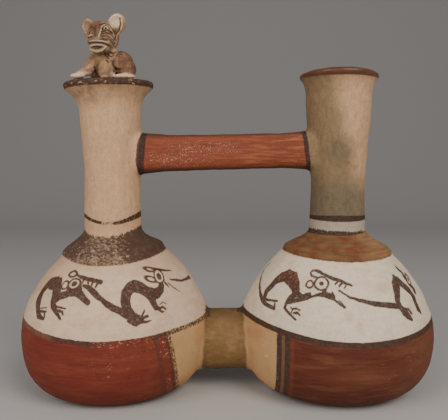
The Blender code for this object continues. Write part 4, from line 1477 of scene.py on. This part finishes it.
# Lines of the face as seen from the front, in hundredths of the animal's height: across, up, half width
FACE_DARK = [
    [
        (-8.2, 4.4, 0.81), (-1.8, 6.4, 0.81), (4.9, 4.3, 0.90), (9.8, -1.9, 0.90), (13.5, -9.7, 0.90),
        (14.0, -15.9, 0.72),
    ],
    [(-0.4, 0.1, 0.99), (0.4, -0.3, 0.99)],
    [(-5.8, -5.3, 1.26), (-0.9, -4.0, 0.99)],
    [(2.2, -2.6, 0.90), (7.1, -5.0, 1.26), (10.2, -7.9, 0.90)],
    [(-5.3, -2.0, 0.54), (-3.7, 2.1, 0.54), (0.2, 3.8, 0.54), (3.7, 2.3, 0.54), (6.0, -1.1, 0.54)],
    [
        (-5.8, -8.1, 0.63), (0.0, -6.6, 0.63), (5.8, -7.7, 0.63), (10.5, -11.4, 0.63),
        (13.2, -16.3, 0.63),
    ],
    [
        (-5.3, -11.4, 0.63), (0.9, -10.5, 0.63), (6.7, -12.6, 0.63), (10.5, -16.7, 0.63),
        (12.3, -21.4, 0.63),
    ],
    [(-7.8, -15.6, 0.81), (-4.4, -14.8, 1.35), (-0.9, -15.3, 1.62), (2.5, -15.8, 0.72)],
    [(3.1, -13.6, 0.72), (6.7, -16.3, 0.72), (9.1, -20.3, 0.72), (11.1, -24.1, 0.63)],
    [
        (-26.8, -24.4, 0.81), (-24.9, -22.6, 1.08), (-20.9, -21.1, 1.17), (-13.3, -20.2, 1.08),
        (-6.2, -20.5, 1.08), (-0.4, -21.7, 1.08), (4.4, -24.2, 0.72),
    ],
    # The next two lines are painted shade, in the gap beside the chest and in the hollow under the haunch
    [(-16.7, -55.5, 1.08), (-15.1, -62.1, 1.53), (-14.7, -65.8, 1.08)],
    [(9.1, -49.7, 1.17), (14.0, -57.9, 1.71), (10.7, -60.2, 1.35)],
    [
        (-19.7, -27.0, 0.54), (-16.9, -25.7, 0.63), (-12.0, -25.0, 0.63), (-6.0, -25.6, 0.54),
        (-10.7, -28.6, 0.63), (-16.0, -29.0, 0.63), (-19.7, -27.0, 0.54),
    ],
    [(-28.3, -13.0, 0.81), (-27.4, -8.1, 0.90), (-24.0, -2.6, 0.90), (-20.6, 0.9, 0.63)],
    [(-25.1, -9.8, 0.63), (-22.9, -5.9, 0.63), (-20.0, -3.4, 0.54)],
    [(-27.4, -15.4, 0.63), (-23.6, -13.3, 0.63), (-19.4, -13.7, 0.54)],
    [(20.3, 14.0, 0.99), (21.2, 6.5, 1.17), (19.1, -1.1, 1.08), (15.1, -7.2, 1.08)],
    # Painted shade down the hollow of the left ear
    [(-30.0, 6.0, 0.90), (-30.6, -0.7, 1.44), (-29.0, -8.1, 0.99)],
    [(-2.3, -33.3, 0.72), (-0.9, -37.8, 0.90), (3.4, -42.1, 0.72)],
    [(5.5, -33.5, 0.72), (10.3, -35.1, 0.72), (13.9, -33.0, 0.63)],
    [(1.6, -36.3, 0.63), (6.8, -39.5, 0.72), (10.3, -37.6, 0.63)],
    [(0.5, -44.7, 1.08), (2.7, -46.9, 1.08)],
]
FACE_PALE = [
    [
        (-10.0, -11.9, 0.81), (-7.5, -5.0, 1.08), (-5.9, 0.9, 1.08), (-0.7, 5.2, 0.72),
        (4.6, 2.9, 0.72), (8.4, -2.8, 0.72), (11.6, -8.9, 0.72),
    ],
    [
        (-22.9, -18.8, 0.54), (-18.7, -17.7, 0.72), (-13.3, -17.2, 0.72), (-6.2, -17.7, 0.72),
        (2.8, -19.6, 0.63),
    ],
    [
        (-24.9, -27.9, 0.99), (-20.3, -24.7, 1.08), (-13.3, -22.9, 0.99), (-5.3, -23.3, 1.08),
        (0.2, -25.4, 0.90), (-5.3, -30.4, 1.17), (-12.9, -33.1, 1.26), (-20.4, -31.3, 1.17),
        (-24.9, -27.9, 0.99),
    ],
    [(-2.3, -0.3, 0.72), (-1.4, 2.0, 0.72), (1.6, 2.1, 0.72), (2.8, -0.5, 0.72)],
    [(-24.9, -12.0, 0.72), (-22.0, -10.4, 0.72), (-18.7, -9.8, 0.63)],
    [(22.6, 11.9, 0.81), (23.6, 5.7, 0.81), (21.3, -1.9, 0.81)],
]


def limb(start, end, thick, thin, count=9):
    """A tapering limb, as a row of balls."""
    row = []
    for share in spread(0, 1, count):
        radius = thick + (thin - thick) * share
        row.append((tuple(Vector(start).lerp(Vector(end), share)), (radius,) * 3))
    return row


def ear(side, wide, tall, shift=0.0, shrink=0.0):
    """A leaf-shaped ear, wide at its top. The one nearer the viewer is the larger."""
    x, z = side * 0.212 - 0.030, 0.165 + (0.045 if side > 0 else 0)
    turn = (0, side * 26, side * 10)
    thin = 0.050 if shrink == 0 else 0.062
    return [
        ((x, 0.08 + shift, z), (wide - shrink, thin, tall - shrink), turn),
        ((x - side * 0.030, 0.07 + shift, z - 0.085), (wide * 0.7 - shrink, thin, tall - shrink), turn),
    ]


LEFT_EAR, RIGHT_EAR = (-1, 0.112, 0.155), (1, 0.140, 0.158)


def head_masses():
    """Skull, brows, cheeks, muzzle, nose and ears, before the head's turn."""
    return [
        ((0, 0.06, 0.03), (0.214, 0.235, 0.200)),
        ((-0.010, -0.03, 0.150), (0.185, 0.165, 0.085)),
        ((-0.125, -0.03, -0.04), (0.095, 0.135, 0.120)),
        ((0.140, -0.03, -0.04), (0.098, 0.135, 0.125)),
        ((-0.118, -0.080, 0.085), (0.075, 0.085, 0.085)),
        ((0.122, -0.080, 0.090), (0.085, 0.085, 0.090)),
        ((0, -0.11, -0.10), (0.176, 0.145, 0.085)),
        ((0, -0.11, -0.17), (0.150, 0.125, 0.080)),
        ((-0.010, -0.125, 0.03), (0.046, 0.085, 0.140)),
        ((-0.012, -0.185, -0.055), (0.085, 0.058, 0.036)),
        *ear(*LEFT_EAR),
        *ear(*RIGHT_EAR),
    ]


def head_hollows():
    """What is pressed into the head: the ears' cups and the mouth."""
    mouth = ((0, -0.250, -0.178), (0.070, 0.050, 0.018))
    return ear(*LEFT_EAR, -0.058, 0.030) + ear(*RIGHT_EAR, -0.060, 0.028) + [mouth]


def body_masses():
    """Chest, ruff, back, haunches, legs, paws and tail."""
    balls = [
        ((0.040, -0.35, 0.13), (0.128, 0.135, 0.165)),
        ((0.00, -0.22, 0.33), (0.165, 0.190, 0.190)),
        ((0.135, -0.35, 0.390), (0.078, 0.080, 0.075)),
        ((0.115, -0.37, 0.300), (0.070, 0.080, 0.065)),
        ((0.03, 0.00, 0.27), (0.230, 0.320, 0.220)),
        ((0.05, 0.24, 0.19), (0.275, 0.300, 0.220)),
        ((-0.10, -0.14, 0.16), (0.190, 0.190, 0.165)),
        ((0.22, -0.15, 0.25), (0.185, 0.230, 0.190)),
        ((0.315, -0.17, 0.17), (0.130, 0.210, 0.150)),
        ((0.30, -0.38, 0.040), (0.160, 0.095, 0.042)),
        ((-0.36, -0.47, 0.034), (0.105, 0.090, 0.040)),
        ((0.03, -0.47, 0.022), (0.060, 0.060, 0.034)),
    ]
    balls += limb((-0.13, -0.24, 0.32), (-0.235, -0.38, 0.13), 0.105, 0.082)
    balls += limb((-0.235, -0.38, 0.13), (-0.36, -0.46, 0.045), 0.080, 0.045)
    for turn in spread(math.radians(-25), math.radians(165), 30):
        balls.append(((0.05 + 0.33 * math.cos(turn), 0.30 + 0.25 * math.sin(turn), 0.05), (0.055,) * 3))
    return balls


def body_hollows():
    """Grooves between the toes, and the gaps beside the chest."""
    balls = []
    for x, y, apart in ((-0.38, -0.565, 0.050), (0.30, -0.475, 0.075)):
        for k in (-1, 0, 1):
            balls.append(((x + k * apart, y, 0.06), (0.010, 0.055, 0.050)))
    balls.append(((-0.098, -0.47, 0.120), (0.032, 0.120, 0.105), (0, 14, 0)))
    balls.append(((0.195, -0.40, 0.130), (0.058, 0.100, 0.048)))
    return balls


def turned_head(balls):
    """The head's balls, turned and set on the body."""
    angle = math.radians(HEAD_TURN)
    cos, sin = math.cos(angle), math.sin(angle)
    placed = []
    for centre, radii, *turn in balls:
        x, y, z = centre
        about = turn[0] if turn else (0, 0, 0)
        middle = HEAD + Vector((x * cos - y * sin, x * sin + y * cos, z))
        placed.append((tuple(middle), radii, (about[0], about[1], about[2] + HEAD_TURN)))
    return placed


def figure_origin(shape):
    return Vector((shape.whistle_axis - shape.neck_lean(shape.lid_top), 0, shape.lid_top - FIGURE_SINK))


def press_balls(name, balls, shape):
    """Presses balls of clay together into one lump. They are rolled in handfuls, which is quick."""
    tall, origin = shape.sizes.figure_height, figure_origin(shape)
    handfuls = []
    for first in range(0, len(balls), HANDFUL):
        deselect()
        for centre, radii, *turn in balls[first : first + HANDFUL]:
            small = max(radii) < 0.03
            bpy.ops.mesh.primitive_uv_sphere_add(
                segments=10 if small else 24,
                ring_count=6 if small else 14,
                radius=tall,
                location=origin + Vector(centre) * tall,
                scale=radii,
                rotation=[math.radians(a) for a in (turn[0] if turn else (0, 0, 0))],
            )
            if bpy.context.mode == "OBJECT":
                handfuls.append(settle(bpy.context.object, name))
                bpy.ops.object.mode_set(mode="EDIT")
        bpy.ops.object.mode_set(mode="OBJECT")
    only(*reversed(handfuls))
    bpy.ops.object.join()
    lump = bpy.context.object
    apply_modifier(lump, "REMESH", mode="VOXEL", voxel_size=FIGURE_GRAIN)
    return lump


def build_animal(shape):
    animal = press_balls("lid_animal", body_masses() + turned_head(head_masses()), shape)
    apply_modifier(animal, "SMOOTH", factor=0.5, iterations=5)
    pressed = press_balls("pressed_hollows", body_hollows() + turned_head(head_hollows()), shape)
    apply_modifier(animal, "BOOLEAN", operation="DIFFERENCE", object=pressed, solver="EXACT")
    bpy.data.objects.remove(pressed, do_unlink=True)
    apply_modifier(animal, "REMESH", mode="VOXEL", voxel_size=FIGURE_GRAIN)
    apply_modifier(animal, "SMOOTH", factor=0.5, iterations=2)
    everywhere = weigh(animal, "surface", lambda place: 1)
    ripple(animal, everywhere, *FIGURE_BUMPS, noise_depth=2)
    for name, strokes, relief in (("creases", FACE_DARK, CREASE_RELIEF), ("ridges", FACE_PALE, RIDGE_RELIEF)):
        group = weigh(animal, name, lambda place: on_line(shape, place, strokes))
        apply_modifier(animal, "DISPLACE", strength=relief, mid_level=0, vertex_group=group)
    apply_modifier(animal, "SMOOTH", factor=0.5, iterations=1)
    # The painted shade of hollows and highlights of ridges come first, because loose scraps in the mesh have
    # a share in how they are scaled
    shade_hollows_and_ridges(animal)
    animal = drop_crumbs(animal)
    animal.name = animal.data.name = "lid_animal"
    return animal


def on_line(shape, place, strokes):
    """1 in the middle of a line of the face, 0 at its edge and beyond."""
    offset = ((place - figure_origin(shape)) / shape.sizes.figure_height - FACE) * 100
    if offset.dot(FACE_BACK) > FACE_DEPTH or offset.length > FACE_REACH:
        return 0
    point = Vector((offset.dot(FACE_RIGHT), offset.dot(FACE_UP)))
    deepest = 0
    for stroke in strokes:
        for (*first, width), (*last, _) in zip(stroke, stroke[1:]):
            start, span = Vector(first), Vector(last) - Vector(first)
            share = min(max((point - start).dot(span) / span.length_squared, 0), 1)
            distance = (point - start - span * share).length
            deepest = max(deepest, smooth(1.25 - distance / (width + 0.6)))
    return deepest


def shade_hollows_and_ridges(thing):
    """Marks hollows dark and ridges light in a colour attribute on the mesh's points: painted shade in the
    hollows and painted highlights on the ridges.
    """
    only(thing)
    thing.data.color_attributes.new(name=SHADE_ATTRIBUTE, type="FLOAT_COLOR", domain="POINT")
    thing.data.color_attributes.active_color_index = 0
    bpy.ops.object.mode_set(mode="VERTEX_PAINT")
    bpy.ops.paint.vertex_color_dirt(
        blur_strength=1, blur_iterations=6, clean_angle=math.pi, dirt_angle=0, dirt_only=False
    )
    bpy.ops.object.mode_set(mode="OBJECT")


def paint_animal(animal, shape, colours):
    """Pinkish clay under rubbed red-brown slip, dark with painted shade in the hollows, light with painted
    highlights on the ridges, and dark along its painted lines.
    """
    paint = Paint("animal_slip")
    tall, origin = shape.sizes.figure_height, figure_origin(shape)
    share = paint.vector("MULTIPLY_ADD", paint.place, [(MM / tall,) * 3, tuple(-origin / tall)])
    offset = paint.vector("SCALE", paint.vector("SUBTRACT", share, [tuple(FACE)]), {"Scale": 100})
    across, up, back = (
        paint.vector("DOT_PRODUCT", offset, [tuple(axis)], output="Value")
        for axis in (FACE_RIGHT, FACE_UP, FACE_BACK)
    )
    drawing = paint.point(across, up, 0)
    dark_lines, pale_lines = Strokes(paint, drawing), Strokes(paint, drawing)
    for picture, strokes in ((dark_lines, FACE_DARK), (pale_lines, FACE_PALE)):
        for points in strokes:
            picture.stroke([(u, v, 0, wide) for u, v, wide in points])
    on_face = back.ramp(FACE_DEPTH + 1, FACE_DEPTH - 1)

    def spot(u, v, wide, high):
        """1 in the middle of an oval on the face, 0 outside it."""
        from_middle = paint.vector("SUBTRACT", drawing, [(u, v, 0)])
        scaled = paint.vector("DIVIDE", from_middle, [(wide, high, 1)])
        return paint.vector("LENGTH", scaled, output="Value").ramp(1.0, 0.55) * on_face

    wear = paint.add("Attribute", {"attribute_name": SHADE_ATTRIBUTE}, {}, "Fac")
    grain = paint.noise(0.7, 4, seed=101, roughness=0.65)
    clouds = paint.noise(3.5, 4, seed=102)
    x, _, height = paint.parts(share)
    shade = paint.mix(clouds.ramp(0.36, 0.60), times(colours.pale_clay, 0.85), times(colours.pale_clay, 0.55))
    on_head = spot(-13, -10, 24, 26) * 0.45
    shade = paint.mix(on_head, shade, times(colours.pale_clay, 0.35))
    shade = paint.mix(spot(-8, -46, 14, 10) * 0.6, shade, colours.clay)
    cloudy = (clouds - 0.5) * 0.3
    at_haunch = (x + cloudy).ramp(0.16, 0.26) * height.ramp(0.09, 0.16) * height.ramp(0.52, 0.44)
    slip = at_haunch.most(spot(-13.8, 3.5, 12, 14)) * (1 - worn(paint, 1.2, 103, 0.45) * 0.4)
    shade = paint.mix(slip * 0.70, shade, times(colours.handle_slip, 0.60))
    shade = paint.mix(spot(-14.4, -6.5, 4, 8) * 0.75, shade, times(colours.smoked_clay, 0.95))
    # Painted shade in the hollows
    shade = paint.mix(wear.ramp(*HOLLOW_SHADE) * 0.55, shade, times(colours.brown_paint, 0.9))
    shade = paint.mix(spot(-33, 4, 9, 13) * 0.6, shade, times(colours.pale_clay, 0.75))
    feet = height.ramp(0.115, 0.07) * abs(x).ramp(0.09, 0.16)
    shade = paint.mix(feet.most(spot(14, 12, 12, 14)) * 0.85, shade, times(colours.cream_slip, 1.05))
    # Painted highlights on the ridges
    shade = paint.mix(wear.ramp(*RIDGE_HIGHLIGHT) * 0.5, shade, colours.cream_slip)
    shade = paint.tint(shade, grain * 1.0 + 0.55)
    rough_edge = (grain - 0.5) * 1.2
    raised = (pale_lines.field + rough_edge).ramp(0.5, -0.5) * on_face
    shade = paint.mix(raised * 0.70, shade, times(colours.cream_slip, 0.80))
    inked = (dark_lines.field + rough_edge).ramp(0.5, -0.5) * on_face
    inked = inked * (1 - worn(paint, 0.9, 104, 0.40) * 0.4)
    shade = paint.mix(inked * 0.8, shade, times(colours.brown_paint, 0.75))
    shade = paint.mix(spot(-12.9, -27.0, 7, 2.4) * 0.8, shade, times(colours.smoked_clay, 0.9))
    animal.data.materials.clear()
    animal.data.materials.append(paint.finish(shade, 0.8, grain, 0.15))


# The stage


def pale_floor():
    material = bpy.data.materials.new("pale_floor")
    material.use_nodes = True
    shader = material.node_tree.nodes["Principled BSDF"]
    shader.inputs["Base Color"].default_value = FLOOR_GREY
    shader.inputs["Roughness"].default_value = 0.9
    return material


def build_sweep():
    """The floor, curving up behind the vessel without an edge."""
    deselect()
    bpy.ops.mesh.primitive_plane_add(size=SWEEP_SIZE, location=(0, SWEEP_BACK - SWEEP_SIZE / 2, 0))
    sweep = bpy.context.object
    back = SWEEP_BACK - MM
    for part in (sweep.data.vertices, sweep.data.edges, sweep.data.polygons):
        for item in part:
            item.select = False
    for edge in sweep.data.edges:
        ends = [sweep.matrix_world @ sweep.data.vertices[v].co for v in edge.vertices]
        edge.select = all(end.y > back for end in ends)
    bpy.ops.object.mode_set(mode="EDIT")
    bpy.ops.mesh.select_mode(type="EDGE")
    bpy.ops.mesh.spin(steps=24, angle=math.radians(-90), center=(0, SWEEP_BACK, SWEEP_BEND), axis=(1, 0, 0))
    bpy.ops.mesh.extrude_region_move(TRANSFORM_OT_translate={"value": (0, 0, SWEEP_SIZE / 2)})
    bpy.ops.mesh.select_all(action="SELECT")
    bpy.ops.mesh.normals_make_consistent(inside=False)
    bpy.ops.object.mode_set(mode="OBJECT")
    bpy.ops.object.shade_smooth()
    return settle(sweep, "floor")


def add_light(name, power, size, place):
    """A soft round light aimed at the vessel."""
    deselect()
    bpy.ops.object.light_add(type="AREA", location=place)
    light = bpy.context.object
    light.name = light.data.name = name
    light.rotation_euler = (Vector(LIGHT_AIM) - Vector(place)).to_track_quat("-Z", "Y").to_euler()
    light.data.shape = "DISK"
    light.data.size = size
    light.data.energy = power
    light.data.color = LIGHT_TONE


# Operators


class VESSEL_OT_wall(bpy.types.Operator):
    """Model the chambers, tube, necks, mouth, lid and handle as one fired wall, and paint it"""

    bl_idname = "vessel.wall"
    bl_label = "Vessel wall"

    def execute(self, context):
        shape = Shape(context.scene.vessel_sizes)
        wall = build_wall(shape)
        paint_wall(wall, shape, context.scene.vessel_colours)
        only(wall)
        bpy.ops.object.shade_smooth()
        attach(wall, "root")
        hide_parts("vessel")
        return {"FINISHED"}


class VESSEL_OT_animal(bpy.types.Operator):
    """Model the crouching animal on the lid, and paint it"""

    bl_idname = "vessel.animal"
    bl_label = "Lid animal"

    def execute(self, context):
        shape = Shape(context.scene.vessel_sizes)
        animal = build_animal(shape)
        paint_animal(animal, shape, context.scene.vessel_colours)
        only(animal)
        bpy.ops.object.shade_smooth()
        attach(animal, "root")
        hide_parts("vessel")
        return {"FINISHED"}


class VESSEL_OT_stage(bpy.types.Operator):
    """Set the pale floor, the soft lights and the camera"""

    bl_idname = "vessel.stage"
    bl_label = "Stage"

    def execute(self, context):
        deselect()
        floor = build_sweep()
        floor.data.materials.append(pale_floor())
        world = bpy.data.worlds.new("studio")
        world.use_nodes = True
        background = world.node_tree.nodes["Background"]
        background.inputs["Color"].default_value = STUDIO_GREY
        background.inputs["Strength"].default_value = STUDIO_STRENGTH
        context.scene.world = world
        for light in LIGHTS:
            add_light(*light)
        deselect()
        bpy.ops.object.camera_add(location=CAMERA_PLACE, rotation=(math.pi / 2 - CAMERA_DROP, 0, 0))
        camera = bpy.context.object
        camera.name = camera.data.name = "camera"
        camera.data.sensor_width = 36
        camera.data.lens = CAMERA_LENS
        camera.data.clip_start = 0.01
        context.scene.camera = camera
        return {"FINISHED"}


class VESSEL_PT_panel(bpy.types.Panel):
    """Lists the vessel's pieces, sizes and colours"""

    bl_idname = "VESSEL_PT_panel"
    bl_label = "Whistling vessel"
    bl_space_type = "VIEW_3D"
    bl_region_type = "UI"
    bl_category = "Vessel"

    def draw(self, context):
        for group in (context.scene.vessel_sizes, context.scene.vessel_colours):
            box = self.layout.box()
            for name in type(group).__annotations__:
                box.prop(group, name)
        for operator in OPERATORS:
            self.layout.operator(operator.bl_idname)


OPERATORS = (VESSEL_OT_wall, VESSEL_OT_animal, VESSEL_OT_stage)
CLASSES = (VesselSizes, VesselColours, *OPERATORS, VESSEL_PT_panel)


def register():
    for cls in CLASSES:
        bpy.utils.register_class(cls)
    bpy.types.Scene.vessel_sizes = bpy.props.PointerProperty(type=VesselSizes)
    bpy.types.Scene.vessel_colours = bpy.props.PointerProperty(type=VesselColours)


def unregister():
    del bpy.types.Scene.vessel_colours
    del bpy.types.Scene.vessel_sizes
    for cls in reversed(CLASSES):
        bpy.utils.unregister_class(cls)


def main():
    register()
    bpy.ops.vessel.wall()
    bpy.ops.vessel.animal()
    bpy.ops.vessel.stage()


if __name__ == "__main__":
    main()
